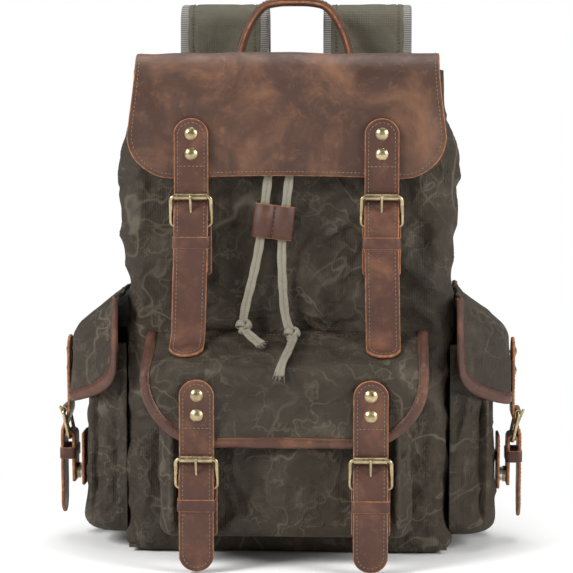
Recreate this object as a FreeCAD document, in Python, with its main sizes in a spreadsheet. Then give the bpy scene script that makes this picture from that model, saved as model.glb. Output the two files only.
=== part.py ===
"""Travel backpack: canvas body with a buckled leather flap, a front pocket and two side pockets.

Millimetres. +Z is up, the front faces -Y, and the origin is the middle of the base on the ground.
"""
import FreeCAD, Part
import Sketcher
import math
import os
from FreeCAD import Placement, Rotation, Vector

SIZES = {
    "bag_width": 306, "bag_depth": 150, "bag_height": 440, "panel_wall": 3, "sewn_gap": 0.3,
    "board_wall": 3, "board_margin": 4,
    "flap_wall": 3, "flap_width": 286, "flap_length": 112, "flap_rise": 9, "flap_corner": 24,
    "flap_round": 42, "flap_stand": 12, "closure_gap": 0.4,
    "front_pocket_width": 224, "front_pocket_depth": 53, "front_pocket_bottom": 26,
    "front_pocket_top": 176, "pocket_wall": 2.5,
    "front_flap_width": 252, "front_flap_top": 206.5, "front_flap_shoulder": 180,
    "front_flap_bottom": 110.5, "front_flap_bend": 14, "front_flap_round": 60,
    "side_pocket_width": 116, "side_pocket_depth": 40, "side_pocket_bottom": 15,
    "side_pocket_top": 192, "side_pocket_round": 28,
    "side_flap_width": 122, "side_flap_top": 238, "side_flap_shoulder": 199,
    "side_flap_bottom": 134, "side_flap_bend": 20, "side_flap_round": 30,
    "binding_width": 8, "binding_wall": 1,
    "strap_width": 30, "strap_wall": 3, "strap_lift": 1.3, "strap_head": 69, "strap_tail": 99,
    "tail_gap": 2.4,
    "main_strap_offset": 85, "front_strap_offset": 76.5,
    "main_roller_level": 328, "front_roller_level": 101, "side_roller_level": 122,
    "rivet_radius": 5.8, "rivet_rise": 2.6, "rivet_shank": 1.5, "rivet_upper": 56, "rivet_lower": 38,
    "wire_radius": 1.8, "frame_pitch": 26, "frame_half": 18, "frame_bend": 3.6, "bar_gap": 0.3,
    "roller_radius": 3.2, "prong_radius": 1.3, "prong_eye": 3.9,
    "chape_width": 28, "chape_wall": 3, "chape_length": 42, "keeper_drop": 41, "keeper_height": 11,
    "keeper_wall": 1.5, "snap_radius": 7.5, "snap_drop": 60, "tab_width": 34, "tab_wall": 2.7,
    "cord_radius": 2.5, "knot_radius": 6.5, "eyelet_radius": 7.5, "eyelet_bore": 3.6,
    "eyelet_level": 402, "slider_height": 31, "slider_wall": 1.5, "slider_clearance": 1.5,
    "cord_width": 8.5, "cord_play": 0.3, "eyelet_play": 1.4,
    "roller_play": 0.5, "bar_stand": 2.6, "chape_set": 2.5, "prong_slot_play": 0.9, "prong_slot_length": 18,
    "prong_slot_drop": 24, "chape_slot": 5, "strap_tip_play": 0.5, "rivet_play": 0.3,
    "adjuster_rim": 4, "adjuster_lip": 2, "anchor_width": 18, "anchor_height": 10, "anchor_drop": 13.5,
    "handle_lift": 9, "handle_shoulder": 0.62, "hinge_set": 2.5, "cut_reach": 400,
    "shoulder_width": 84, "shoulder_wall": 10, "shoulder_offset": 70,
    "webbing_width": 25, "webbing_wall": 1.6, "adjuster_height": 22,
    "handle_span": 108, "handle_rise": 60, "handle_wall": 9, "handle_width": 14, "handle_set": 17,
}

# Routes run out of the eyelets and down; each y is measured from the bag's front face.
CORD_LEFT = [
    (-9, 8, 402), (-9, -4.5, 402), (-12, -4.5, 378), (-16, -5, 352), (-19, -6.5, 325),
    (-24, -6.5, 285), (-31, -6, 252), (-37.5, -5.5, 228), (-39.5, -8.5, 214),
    (-37, -17, 208), (-30, -26, 202.5), (-22, -35, 198),
]
CORD_RIGHT = [
    (9, 8, 402), (9, -4.5, 402), (7, -4.5, 378), (3, -5, 352), (0, -6.5, 325),
    (-5, -6.5, 285), (-4, -6, 252), (-2.5, -5.5, 228), (0, -8.5, 214), (4, -17, 208),
    (7, -29, 203), (4.5, -42, 196.5), (1.5, -55, 191), (-2, -66, 185), (-4, -71, 175),
]
KNOT_LEFT = (-38.3, -12.7, 211)
KNOT_RIGHT = (5.5, -23, 205.5)
SLIDER_CENTRE = (-12, -6.5, 305)

doc = FreeCAD.newDocument("travel_backpack")
sheet = doc.addObject("Spreadsheet::Sheet", "Sizes")
for row, (alias, value) in enumerate(SIZES.items(), start=1):
    sheet.set(f"A{row}", alias)
    sheet.set(f"B{row}", str(value))
    sheet.setAlias(f"B{row}", alias)
doc.recompute()

nodes = {}


def mm(alias):
    """A driving size from the sheet."""
    return float(sheet.get(alias))


def keep(node, label):
    """Name a document object as a sub-part of the bag."""
    node.Label = label
    nodes[label] = node
    return node


def bind(feature, **expressions):
    """Bind properties of a feature to expressions on the sheet; _ in a name stands for a dot."""
    for name, expression in expressions.items():
        feature.setExpression(name.replace("_", "."), expression)


# ---------------------------------------------------------------- parametric building blocks

def box(name, size, corner):
    """A Part::Box whose three sizes and low corner are expressions."""
    feature = doc.addObject("Part::Box", name)
    bind(feature, Length=size[0], Width=size[1], Height=size[2])
    bind(feature, Placement_Base_x=corner[0], Placement_Base_y=corner[1], Placement_Base_z=corner[2])
    return feature


def cut(name, base, tool):
    """A Part::Cut of two document objects."""
    feature = doc.addObject("Part::Cut", name)
    feature.Base = base
    feature.Tool = tool
    return feature


def body_sketch(label, role):
    """A PartDesign::Body with a sketch on one of its origin planes."""
    body = doc.addObject("PartDesign::Body", label)
    sketch = body.newObject("Sketcher::SketchObject", label + "_outline")
    plane = next(item for item in body.Origin.OriginFeatures if item.Role == role)
    sketch.AttachmentSupport = [(plane, "")]
    sketch.MapMode = "FlatFace"
    return body, sketch


def plate(label, width, depth, thickness, level):
    """A body padded from a rectangle that is centred on the origin."""
    body, sketch = body_sketch(label, "XY_Plane")
    corners = [Vector(-10, -5, 0), Vector(10, -5, 0), Vector(10, 5, 0), Vector(-10, 5, 0)]
    for first, second in zip(corners, corners[1:] + corners[:1]):
        sketch.addGeometry(Part.LineSegment(first, second), False)
    for side in range(4):
        sketch.addConstraint(Sketcher.Constraint("Coincident", side, 2, (side + 1) % 4, 1))
    for side in (0, 2):
        sketch.addConstraint(Sketcher.Constraint("Horizontal", side))
        sketch.addConstraint(Sketcher.Constraint("Vertical", side + 1))
    sketch.addConstraint(Sketcher.Constraint("Symmetric", 0, 1, 2, 1, -1, 1))
    across = sketch.addConstraint(Sketcher.Constraint("DistanceX", 0, 1, 0, 2, 20))
    along = sketch.addConstraint(Sketcher.Constraint("DistanceY", 1, 1, 1, 2, 10))
    sketch.setExpression(f"Constraints[{across}]", width)
    sketch.setExpression(f"Constraints[{along}]", depth)
    pad = body.newObject("PartDesign::Pad", label + "_pad")
    pad.Profile = sketch
    bind(pad, Length=thickness)
    bind(body, Placement_Base_z=level)
    return keep(body, label)


def ring(label, outer, bore, length, placement):
    """A body padded both ways from two circles: a tube about its own Z axis."""
    body, sketch = body_sketch(label, "XY_Plane")
    for radius in (outer, bore):
        index = sketch.addGeometry(Part.Circle(Vector(), Vector(0, 0, 1), 3 + len(radius)), False)
        sketch.addConstraint(Sketcher.Constraint("Coincident", index, 3, -1, 1))
        size = sketch.addConstraint(Sketcher.Constraint("Radius", index, 3 + len(radius)))
        sketch.setExpression(f"Constraints[{size}]", radius)
    pad = body.newObject("PartDesign::Pad", label + "_pad")
    pad.Profile = sketch
    pad.SideType = "Symmetric"
    bind(pad, Length=length)
    body.Placement = placement
    return keep(body, label)


def solid(label, shape, placement=Placement()):
    """A sub-part whose shape is worked out by the functions below."""
    feature = doc.addObject("Part::Feature", label)
    feature.Shape = shape
    feature.Placement = placement
    return keep(feature, label)


# ---------------------------------------------------------------- outlines and strips

def corner_arc(before, corner, after, radius):
    """Ends and middle of the arc that rounds a corner, or None for a sharp one."""
    to_before = (before - corner).normalize()
    to_after = (after - corner).normalize()
    half_turn = (math.pi - to_before.getAngle(to_after)) / 2
    if radius <= 0 or half_turn < 1e-3:
        return None
    setback = radius * math.tan(half_turn)
    start = corner + to_before * setback
    end = corner + to_after * setback
    inward = (to_before + to_after).normalize()
    middle = corner + inward * (radius / math.cos(half_turn) - radius)
    return start, middle, end


def rounded_edges(points, radii, closed=False):
    """Straight runs joined by tangent arcs."""
    count = len(points)
    arcs = [None] * count
    for index in range(count):
        if closed or 0 < index < count - 1:
            after = points[(index + 1) % count]
            arcs[index] = corner_arc(points[index - 1], points[index], after, radii[index])
    edges = []
    for index in range(count if closed else count - 1):
        following = (index + 1) % count
        start = arcs[index][2] if arcs[index] else points[index]
        end = arcs[following][0] if arcs[following] else points[following]
        if start.distanceToPoint(end) > 1e-4:
            edges.append(Part.LineSegment(start, end).toShape())
        if arcs[following]:
            edges.append(Part.Arc(*arcs[following]).toShape())
    return edges


def beside(points, radii, offset):
    """A copy of an open YZ path, moved to its left by offset, with its bends to match."""
    directions = [(b - a).normalize() for a, b in zip(points, points[1:])]
    lefts = [Vector(0, -d.z, d.y) for d in directions]
    moved = [points[0] + lefts[0] * offset]
    bends = [0]
    for index in range(1, len(points) - 1):
        bisector = lefts[index - 1] + lefts[index]
        moved.append(points[index] + bisector * (2 * offset / bisector.Length ** 2))
        turn = directions[index - 1].cross(directions[index]).x
        bends.append(max(radii[index] - offset * math.copysign(1, turn), 0.2) if radii[index] else 0)
    moved.append(points[-1] + lefts[-1] * offset)
    return moved, bends + [0]


def strip(path, radii, thickness, width, centre=0):
    """Sheet of one thickness that follows a path of (y, z) points and lies to its left."""
    points = [Vector(0, y, z) for y, z in path]
    radii = list(radii)
    back, back_radii = beside(points, radii, thickness)
    edges = rounded_edges(points, radii)
    edges += [Part.LineSegment(points[-1], back[-1]).toShape()]
    edges += rounded_edges(back[::-1], back_radii[::-1])
    edges += [Part.LineSegment(back[0], points[0]).toShape()]
    face = Part.Face(Part.Wire(Part.__sortEdges__(edges)))
    face.translate(Vector(centre - width / 2, 0, 0))
    return face.extrude(Vector(width, 0, 0))


def shield(width, bottom, top, bottom_radius, top_radius=0, centre=0, inset=0):
    """Prism along Y with rounded lower (and upper) corners, to trim a sheet's front view."""
    half = width / 2 - inset
    low = bottom + inset
    low_radius = max(bottom_radius - inset, 1)
    corners = [
        Vector(centre - half, -mm("cut_reach"), low), Vector(centre + half, -mm("cut_reach"), low),
        Vector(centre + half, -mm("cut_reach"), top), Vector(centre - half, -mm("cut_reach"), top),
    ]
    radii = [low_radius, low_radius, top_radius, top_radius]
    wire = Part.Wire(rounded_edges(corners, radii, closed=True))
    return Part.Face(wire).extrude(Vector(0, 2 * mm("cut_reach"), 0))


def rod(start, end, radius):
    """A cylinder between two points."""
    direction = end - start
    return Part.makeCylinder(radius, direction.Length, start, direction)


def swept(points, radii, radius, closed=False):
    """A round section along straight runs joined by arcs."""
    edges = rounded_edges(points, radii, closed)
    wire = Part.Wire(edges)
    start = wire.Edges[0].valueAt(wire.Edges[0].FirstParameter)
    tangent = wire.Edges[0].tangentAt(wire.Edges[0].FirstParameter)
    profile = Part.Wire(Part.Circle(start, tangent, radius).toShape())
    return wire.makePipeShell([profile], True, False), wire.Length


# ---------------------------------------------------------------- one buckled closure

def turned(sign):
    """Turns a front-facing piece to the right side (+1), the left side (-1) or not at all (0)."""
    return Placement(Vector(), Rotation(Vector(0, 0, 1), 90 * sign))


def closure_levels(plane, roller):
    """Places in a closure, from the flap's outer face (plane) and the roller's level."""
    pass_front = plane - 2 * mm("roller_radius") - mm("strap_lift") - 0.2
    return {
        "roller": Vector(0,
                         plane - mm("strap_lift") - mm("strap_wall") - mm("roller_play") - mm("roller_radius"),
                         roller),
        "bar": Vector(0, plane - mm("bar_stand"), roller - mm("frame_pitch")),
        "strap_back": plane - mm("strap_lift"),
        "tail_back": pass_front,
        "chape_back": plane + mm("chape_set"),
        "tab_front": plane + mm("flap_stand") - mm("sewn_gap") - mm("tab_wall"),
    }


def strap_shape(plane, roller, centre, bottom):
    """Strap from its riveted head, behind the roller, over the bar and down to bottom."""
    place = closure_levels(plane, roller)
    top = roller + mm("strap_head")
    path = [
        (place["strap_back"], top), (place["strap_back"], roller - 2),
        (place["tail_back"], roller - 19), (place["tail_back"], bottom),
    ]
    shape = strip(path, [0, 6, 6, 0], -mm("strap_wall"), mm("strap_width"), centre)
    end_radius = mm("strap_width") / 2 - mm("strap_tip_play")
    tip_radius = end_radius if bottom < roller - 60 else 0
    shape = shape.common(shield(mm("strap_width"), bottom, top, tip_radius, end_radius, centre))
    half_slot = mm("prong_radius") + mm("prong_slot_play")
    corner = Vector(centre - half_slot, plane - 20, roller - mm("prong_slot_drop"))
    slot = Part.makeBox(2 * half_slot, 20, mm("prong_slot_length"), corner)
    shape = shape.cut(slot)
    for level in (mm("rivet_upper"), mm("rivet_lower")):
        shape = shape.cut(rivet_hole(plane, roller + level, centre))
    return shape


def rivet_hole(plane, level, centre):
    """The hole that a rivet's shank passes through."""
    return Part.makeCylinder(mm("rivet_shank") + mm("rivet_play"), 40, Vector(centre, plane - 20,
                                                                              level), Vector(0, 1, 0))


def rivet_shape(plane, level, centre):
    """Domed rivet: head on the strap, shank through strap and flap, washer behind the flap."""
    head_y = plane - mm("strap_lift") - mm("strap_wall")
    radius = mm("rivet_radius")
    rise = mm("rivet_rise")
    ball = (radius ** 2 + rise ** 2) / (2 * rise)
    dome = Part.makeSphere(ball, Vector(centre, head_y - rise + ball, level))
    dome = dome.common(Part.makeCylinder(radius, rise, Vector(centre, head_y, level), Vector(0, -1, 0)))
    washer_y = plane + mm("flap_wall")
    shank = Part.makeCylinder(
        mm("rivet_shank"), washer_y + 1 - head_y + 0.5,
        Vector(centre, head_y - 0.5, level), Vector(0, 1, 0))
    washer = Part.makeCylinder(radius - 1.5, 1, Vector(centre, washer_y, level), Vector(0, 1, 0))
    return dome.fuse([shank, washer])


def snap_shapes(plane, roller, centre):
    """The socket behind the chape and the stud on the base tab."""
    place = closure_levels(plane, roller)
    level = roller - mm("snap_drop")
    start = place["chape_back"]
    room = place["tab_front"] - start - mm("closure_gap")
    socket = Part.makeCylinder(mm("snap_radius"), room / 2, Vector(centre, start, level), Vector(0, 1, 0))
    stud = Part.makeCylinder(
        mm("snap_radius") - 1, room / 2, Vector(centre, place["tab_front"], level), Vector(0, -1, 0))
    return socket, stud


def frame_shape(plane, roller, centre):
    """Wire buckle frame: upper bar under the roller, lower bar in the chape."""
    place = closure_levels(plane, roller)
    across = Vector(mm("frame_half"), 0, 0)
    middle = Vector(centre, 0, 0)
    top = place["roller"] + middle
    low = place["bar"] + middle
    points = [top, top + across, low + across, low - across, top - across]
    radii = [0] + [mm("frame_bend")] * 4
    return swept(points, radii, mm("wire_radius"), closed=True)[0]


def chape_shapes(plane, roller, centre):
    """Folded leather that holds the lower bar, and the keeper round it and the strap."""
    place = closure_levels(plane, roller)
    bar = place["bar"] + Vector(centre, 0, 0)
    half = Vector(mm("chape_width") / 2, 0, 0)
    bore = mm("wire_radius") + mm("bar_gap")
    back = place["chape_back"]
    fold = rod(bar - half, bar + half, bore + 2.5)
    leg = Part.makeBox(
        mm("chape_width"), mm("chape_wall"), mm("chape_length"),
        Vector(centre - half.x, back - mm("chape_wall"), bar.z - mm("chape_length")))
    chape = leg.fuse(fold).removeSplitter().cut(rod(bar - half * 2, bar + half * 2, bore))
    eye = mm("prong_eye") + 0.9
    chape = chape.cut(Part.makeBox(mm("chape_slot"), 30, 2 * eye,
                                 Vector(centre - mm("chape_slot") / 2, bar.y - eye, bar.z - eye)))
    front = place["tail_back"] - mm("strap_wall")
    inner_half = mm("strap_width") / 2 + 0.6
    wall = mm("keeper_wall")
    low = roller - mm("keeper_drop") - mm("keeper_height") / 2
    depth = back + 0.3 - (front - 0.3)
    window = Part.makeBox(2 * inner_half, depth, 40, Vector(centre - inner_half, front - 0.3, low - 10))
    keeper = Part.makeBox(
        2 * (inner_half + wall), depth + 2 * wall, mm("keeper_height"),
        Vector(centre - inner_half - wall, front - 0.3 - wall, low)).cut(window)
    return [chape, keeper]


def prong_shape(plane, roller):
    """Prong: an eye round the lower bar and a round pin that rests on the roller."""
    place = closure_levels(plane, roller)
    reach = place["roller"] - place["bar"]
    rest = mm("roller_radius") + mm("bar_gap") + mm("prong_radius")
    lean = math.atan2(-reach.y, reach.z) + math.asin(rest / reach.Length)
    along = Vector(0, -math.sin(lean), math.cos(lean))
    tip = place["bar"] + along * (reach.Length + 2)
    half = Vector(1.9, 0, 0)
    eye = rod(place["bar"] - half, place["bar"] + half, mm("prong_eye"))
    pin = rod(place["bar"] + along, tip, mm("prong_radius"))
    shape = eye.fuse([pin, Part.makeSphere(mm("prong_radius"), tip)])
    bore = mm("wire_radius") + mm("bar_gap")
    return shape.cut(rod(place["bar"] - half * 2, place["bar"] + half * 2, bore))


def tab_shape(plane, roller, centre):
    """Base tab sewn to the bag behind the chape."""
    place = closure_levels(plane, roller)
    bottom = roller - mm("snap_drop") - 11
    top = roller - mm("frame_pitch") + 4
    sheet_shape = Part.makeBox(
        mm("tab_width"), mm("tab_wall"), top - bottom,
        Vector(centre - mm("tab_width") / 2, place["tab_front"], bottom))
    return sheet_shape.common(shield(mm("tab_width"), bottom, top, 9, 3, centre))


tab_solids = []
stud_solids = []


def closure(name, centres, labels, plane, roller, sign, bottom):
    """All pieces of one flap's straps; labels name the roller and prong of each strap."""
    lay = turned(sign)
    straps = [strap_shape(plane, roller, x, bottom) for x in centres]
    solid(f"{name}_straps", Part.makeCompound(straps), lay)
    fasteners = []
    for x in centres:
        fasteners += [rivet_shape(plane, roller + mm(level), x) for level in ("rivet_upper", "rivet_lower")]
        socket, stud = snap_shapes(plane, roller, x)
        fasteners.append(socket)
        stud_solids.append(stud.transformGeometry(lay.toMatrix()))
        tab_solids.append(tab_shape(plane, roller, x).transformGeometry(lay.toMatrix()))
    solid(f"{name}_fasteners", Part.makeCompound(fasteners), lay)
    solid(f"{name}_buckle_frames", Part.makeCompound([frame_shape(plane, roller, x) for x in centres]), lay)
    chapes = []
    for x in centres:
        chapes += chape_shapes(plane, roller, x)
    solid(f"{name}_chapes", Part.makeCompound(chapes), lay)
    place = closure_levels(plane, roller)
    for x, label in zip(centres, labels):
        along_x = Rotation(Vector(0, 1, 0), 90)
        seat = lay.multiply(Placement(place["roller"] + Vector(x, 0, 0), along_x))
        ring(f"{label}_roller", "Sizes.roller_radius", "Sizes.wire_radius + Sizes.bar_gap",
             "2 * (Sizes.frame_half - Sizes.frame_bend)", seat)
        shift = Placement(Vector(x, 0, 0), Rotation())
        solid(f"{label}_prong", prong_shape(plane, roller), lay.multiply(shift))


def pocket_flap(name, path, radii, width, bottom, round_radius, centres, plane, roller, sign):
    """A canvas pocket flap with rivet holes, and the leather binding round its lower edge."""
    lay = turned(sign)
    flap = strip(path, radii, mm("flap_wall"), width)
    flap = flap.common(shield(width, bottom, mm("cut_reach"), round_radius))
    for x in centres:
        for level in ("rivet_upper", "rivet_lower"):
            flap = flap.cut(rivet_hole(plane, roller + mm(level), x))
    solid(name, flap, lay)
    points = [Vector(0, y, z) for y, z in path]
    outer, outer_radii = beside(points, radii, -0.1)
    binding = strip([(p.y, p.z) for p in outer], outer_radii, -mm("binding_wall"), width)
    edge = shield(width, bottom, mm("cut_reach"), round_radius)
    edge = edge.cut(shield(width, bottom, 500, round_radius, inset=mm("binding_width")))
    solid(name + "_binding", binding.common(edge), lay)


# ---------------------------------------------------------------- bag body

half_width = mm("bag_width") / 2
half_depth = mm("bag_depth") / 2
inside_width = "Sizes.bag_width - 2 * Sizes.panel_wall - 2 * Sizes.sewn_gap"
inside_depth = "Sizes.bag_depth - 2 * Sizes.panel_wall - 2 * Sizes.sewn_gap"
panel_height = "Sizes.bag_height - Sizes.panel_wall - Sizes.sewn_gap"
panel_low = "Sizes.panel_wall + Sizes.sewn_gap"

plate("base_panel", "Sizes.bag_width", "Sizes.bag_depth", "Sizes.panel_wall", "0")
plate("base_board", inside_width + " - 2 * Sizes.board_margin", inside_depth + " - 2 * Sizes.board_margin",
      "Sizes.board_wall", panel_low)

front_blank = box("front_blank", ("Sizes.bag_width", "Sizes.panel_wall", panel_height),
                  ("-Sizes.bag_width / 2", "-Sizes.bag_depth / 2", panel_low))
hole_pair = []
for name, side in (("hole_left", -1), ("hole_right", 1)):
    hole = doc.addObject("Part::Cylinder", name)
    bind(hole, Radius="Sizes.eyelet_bore + Sizes.eyelet_play")
    hole.Height = 40
    hole.Placement = Placement(Vector(0, 0, 0), Rotation(Vector(1, 0, 0), 90))
    bind(hole, Placement_Base_x=f"{side * abs(CORD_LEFT[0][0])}", Placement_Base_z="Sizes.eyelet_level",
         Placement_Base_y="-Sizes.bag_depth / 2 + 20")
    hole_pair.append(hole)
holes = doc.addObject("Part::Compound", "eyelet_holes")
holes.Links = hole_pair
keep(cut("front_panel", front_blank, holes), "front_panel")
keep(box("back_panel", ("Sizes.bag_width", "Sizes.panel_wall", panel_height),
         ("-Sizes.bag_width / 2", "Sizes.bag_depth / 2 - Sizes.panel_wall", panel_low)), "back_panel")
for label, corner in (
        ("side_panel_left", "-Sizes.bag_width / 2"),
        ("side_panel_right", "Sizes.bag_width / 2 - Sizes.panel_wall")):
    keep(box(label, ("Sizes.panel_wall", inside_depth, panel_height),
             (corner, "-Sizes.bag_depth / 2 + Sizes.panel_wall + Sizes.sewn_gap", panel_low)), label)


def eyelet(x):
    """Brass eyelet: a tube through the front panel with a flange on each face."""
    face = -half_depth
    level = mm("eyelet_level")
    bore = mm("eyelet_bore")
    back = Vector(0, 1, 0)
    tube = Part.makeCylinder(bore + 1.2, mm("panel_wall") + 1.6, Vector(x, face - 0.8, level), back)
    flanges = [Part.makeCylinder(mm("eyelet_radius"), 0.7, Vector(x, y, level), back)
               for y in (face - 0.8, face + mm("panel_wall") + 0.1)]
    return tube.fuse(flanges).cut(Part.makeCylinder(bore, 20, Vector(x, face - 8, level), back))


solid("eyelets", Part.makeCompound([eyelet(CORD_LEFT[0][0]), eyelet(CORD_RIGHT[0][0])]))

# ---------------------------------------------------------------- pockets

front_face = -half_depth - mm("front_pocket_depth")
keep(box("front_pocket_panel",
         ("Sizes.front_pocket_width", "Sizes.pocket_wall",
          "Sizes.front_pocket_top - Sizes.front_pocket_bottom"),
         ("-Sizes.front_pocket_width / 2", "-Sizes.bag_depth / 2 - Sizes.front_pocket_depth",
          "Sizes.front_pocket_bottom")), "front_pocket_panel")
gusset_depth = "Sizes.front_pocket_depth - Sizes.pocket_wall - 2 * Sizes.sewn_gap"
gusset_y = "-Sizes.bag_depth / 2 - Sizes.front_pocket_depth + Sizes.pocket_wall + Sizes.sewn_gap"
gusset_blank = box(
    "gusset_blank",
    ("Sizes.front_pocket_width", gusset_depth, "Sizes.front_pocket_top - Sizes.front_pocket_bottom"),
    ("-Sizes.front_pocket_width / 2", gusset_y, "Sizes.front_pocket_bottom"))
gusset_room = box(
    "gusset_room",
    ("Sizes.front_pocket_width - 2 * Sizes.pocket_wall", gusset_depth + " + 20",
     "Sizes.front_pocket_top - Sizes.front_pocket_bottom"),
    ("-Sizes.front_pocket_width / 2 + Sizes.pocket_wall", gusset_y + " - 10",
     "Sizes.front_pocket_bottom + Sizes.pocket_wall"))
keep(cut("front_pocket_gusset", gusset_blank, gusset_room), "front_pocket_gusset")


def side_pocket_shape():
    """Open-topped pocket with rounded outer corners, as a front-facing piece."""
    near = -half_width - mm("sewn_gap")
    far = -half_width - mm("side_pocket_depth")
    wall = mm("pocket_wall")
    low = mm("side_pocket_bottom")
    top = mm("side_pocket_top")

    def block(inset, bottom, height):
        half = mm("side_pocket_width") / 2 - inset
        radius = mm("side_pocket_round") - inset
        corners = [Vector(-half, near - inset, bottom), Vector(-half, far + inset, bottom),
                   Vector(half, far + inset, bottom), Vector(half, near - inset, bottom)]
        wire = Part.Wire(rounded_edges(corners, [0, radius, radius, 0], closed=True))
        return Part.Face(wire).extrude(Vector(0, 0, height))

    return block(0, low, top - low).cut(block(wall, low + wall, top - low))


for label, sign in (("side_pocket_left", -1), ("side_pocket_right", 1)):
    solid(label, side_pocket_shape(), turned(sign))

# ---------------------------------------------------------------- main flap and its straps

main_plane = -half_depth - mm("flap_stand")
flap_top = mm("bag_height") + mm("flap_rise") + mm("flap_wall")
flap_bottom = flap_top + 4 - mm("flap_length")
main_roller = mm("main_roller_level")
main_centres = (-mm("main_strap_offset"), mm("main_strap_offset"))
main_flap = strip(
    [(half_depth + 1, flap_top), (main_plane, flap_top + 4), (main_plane, flap_bottom)],
    [0, mm("flap_corner"), 0], mm("flap_wall"), mm("flap_width"))
main_flap = main_flap.common(shield(mm("flap_width"), flap_bottom, 600, mm("flap_round")))
for x in main_centres:
    for level in ("rivet_upper", "rivet_lower"):
        main_flap = main_flap.cut(rivet_hole(main_plane, main_roller + mm(level), x))
solid("main_flap", main_flap)
tail_pivot = main_roller - mm("keeper_drop") - mm("keeper_height") / 2 - mm("tail_gap") - 1
closure("main_flap", main_centres, ("main_left", "main_right"), main_plane, main_roller, 0,
        tail_pivot + mm("tail_gap"))

front_plane = front_face - mm("flap_stand")
hinge_y = -half_depth - mm("hinge_set")
slope_drop = (mm("front_flap_top") - mm("front_flap_shoulder")) / (hinge_y - front_plane)
tail_back = closure_levels(main_plane, main_roller)["tail_back"]
tail_bend = mm("front_flap_top") - slope_drop * (hinge_y - tail_back) + 2.2
tail_reach = 27
tail_solids = []
for x in main_centres:
    tail = strip(
        [(tail_back, tail_pivot - 1), (tail_back, tail_bend),
         (tail_back - tail_reach, tail_bend - slope_drop * tail_reach)],
        [0, 9, 0], -mm("strap_wall"), mm("strap_width"), x)
    tail = tail.cut(Part.makeCylinder(2, 30, Vector(x, tail_back - 15, main_roller - 64), Vector(0, 1, 0)))
    tail_solids.append(tail)
solid("main_strap_tails", Part.makeCompound(tail_solids))

# ---------------------------------------------------------------- pocket flaps

front_centres = (-mm("front_strap_offset"), mm("front_strap_offset"))
pocket_flap(
    "front_flap",
    [(hinge_y, mm("front_flap_top")), (front_plane, mm("front_flap_shoulder")),
     (front_plane, mm("front_flap_bottom"))],
    [0, mm("front_flap_bend"), 0], mm("front_flap_width"), mm("front_flap_bottom"), mm("front_flap_round"),
    front_centres, front_plane, mm("front_roller_level"), 0)
closure("front_flap", front_centres, ("front_left", "front_right"), front_plane,
        mm("front_roller_level"), 0,
        mm("front_roller_level") - mm("strap_tail"))

side_plane = -half_width - mm("side_pocket_depth") - mm("flap_stand")
side_hinge_y = -half_width - 3
for name, sign in (("side_flap_left", -1), ("side_flap_right", 1)):
    pocket_flap(
        name,
        [(side_hinge_y, mm("side_flap_top")), (side_plane, mm("side_flap_shoulder")),
         (side_plane, mm("side_flap_bottom"))],
        [0, mm("side_flap_bend"), 0], mm("side_flap_width"), mm("side_flap_bottom"), mm("side_flap_round"),
        (0,), side_plane, mm("side_roller_level"), sign)
    closure(name, (0,), (name.replace("_flap", ""),), side_plane, mm("side_roller_level"), sign,
            mm("side_roller_level") - mm("strap_tail"))

solid("base_tabs", Part.makeCompound(tab_solids))
solid("snap_studs", Part.makeCompound(stud_solids))

# ---------------------------------------------------------------- drawcord


def placed(point):
    """A point whose y is measured from the bag's front face."""
    return Vector(*point) - Vector(0, half_depth, 0)


def cord_path(route):
    """Route points and the radius of the arc at each one."""
    points = [placed(point) for point in route]
    radii = [0]
    for before, here, after in zip(points, points[1:], points[2:]):
        shorter = min((here - before).Length, (after - here).Length)
        turn = (here - before).getAngle(after - here)
        radii.append(0.45 * shorter / math.tan(turn / 2))
    return points, radii + [0]


def cord(label, route, knot):
    """A cord end and the knot tied in it."""
    points, radii = cord_path(route)
    radius = mm("cord_radius")
    tube, length = swept(points, radii, radius)
    print(label, "radii", [round(value) for value in radii[1:-1]], "length", round(length, 1),
          "volume ratio", round(tube.Volume / (math.pi * radius ** 2 * length), 4))
    solid(label, tube)
    room = swept(points, radii, radius + mm("cord_play"))[0]
    return Part.makeSphere(mm("knot_radius"), placed(knot)).cut(room)


knots = [cord("drawcord_left", CORD_LEFT, KNOT_LEFT), cord("drawcord_right", CORD_RIGHT, KNOT_RIGHT)]
solid("drawcord_knots", Part.makeCompound(knots))


def slider_shape():
    """Two leather loops side by side, one round each cord end, lying along the cords."""
    wall = mm("slider_wall")
    room_x = mm("cord_width") + 4 * mm("slider_clearance")
    room_y = 2 * (mm("cord_radius") + mm("slider_clearance"))
    height = mm("slider_height")
    strand = abs(CORD_LEFT[4][0] - CORD_RIGHT[4][0])
    width = strand + room_x + 2 * wall
    block = Part.makeBox(width, room_y + 2 * wall, height,
                         Vector(-width / 2, -room_y / 2 - wall, -height / 2))
    for side in (-strand / 2, strand / 2):
        corner = Vector(side - room_x / 2, -room_y / 2, -height)
        block = block.cut(Part.makeBox(room_x, room_y, 2 * height, corner))
    return block


along_cord = Vector(*CORD_LEFT[4]) - Vector(*CORD_LEFT[5])
slider_lean = math.degrees(math.atan2(along_cord.x, along_cord.z))
solid("drawcord_slider", slider_shape(),
      Placement(placed(SLIDER_CENTRE), Rotation(Vector(0, 1, 0), slider_lean)))

# ---------------------------------------------------------------- carrying

back_face = half_depth
shoulder_path = [
    (back_face + 4, 385), (back_face + 47, 450), (back_face + 49, 494), (back_face + 75, 494),
    (back_face + 81, 420), (back_face + 83, 300), (back_face + 71, 205),
]
shoulder_radii = [0, 25, 12, 12, 60, 90, 0]
for label, side in (("shoulder_strap_left", -1), ("shoulder_strap_right", 1)):
    solid(label, strip(shoulder_path, shoulder_radii, -mm("shoulder_wall"), mm("shoulder_width"),
                       side * mm("shoulder_offset")))

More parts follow.
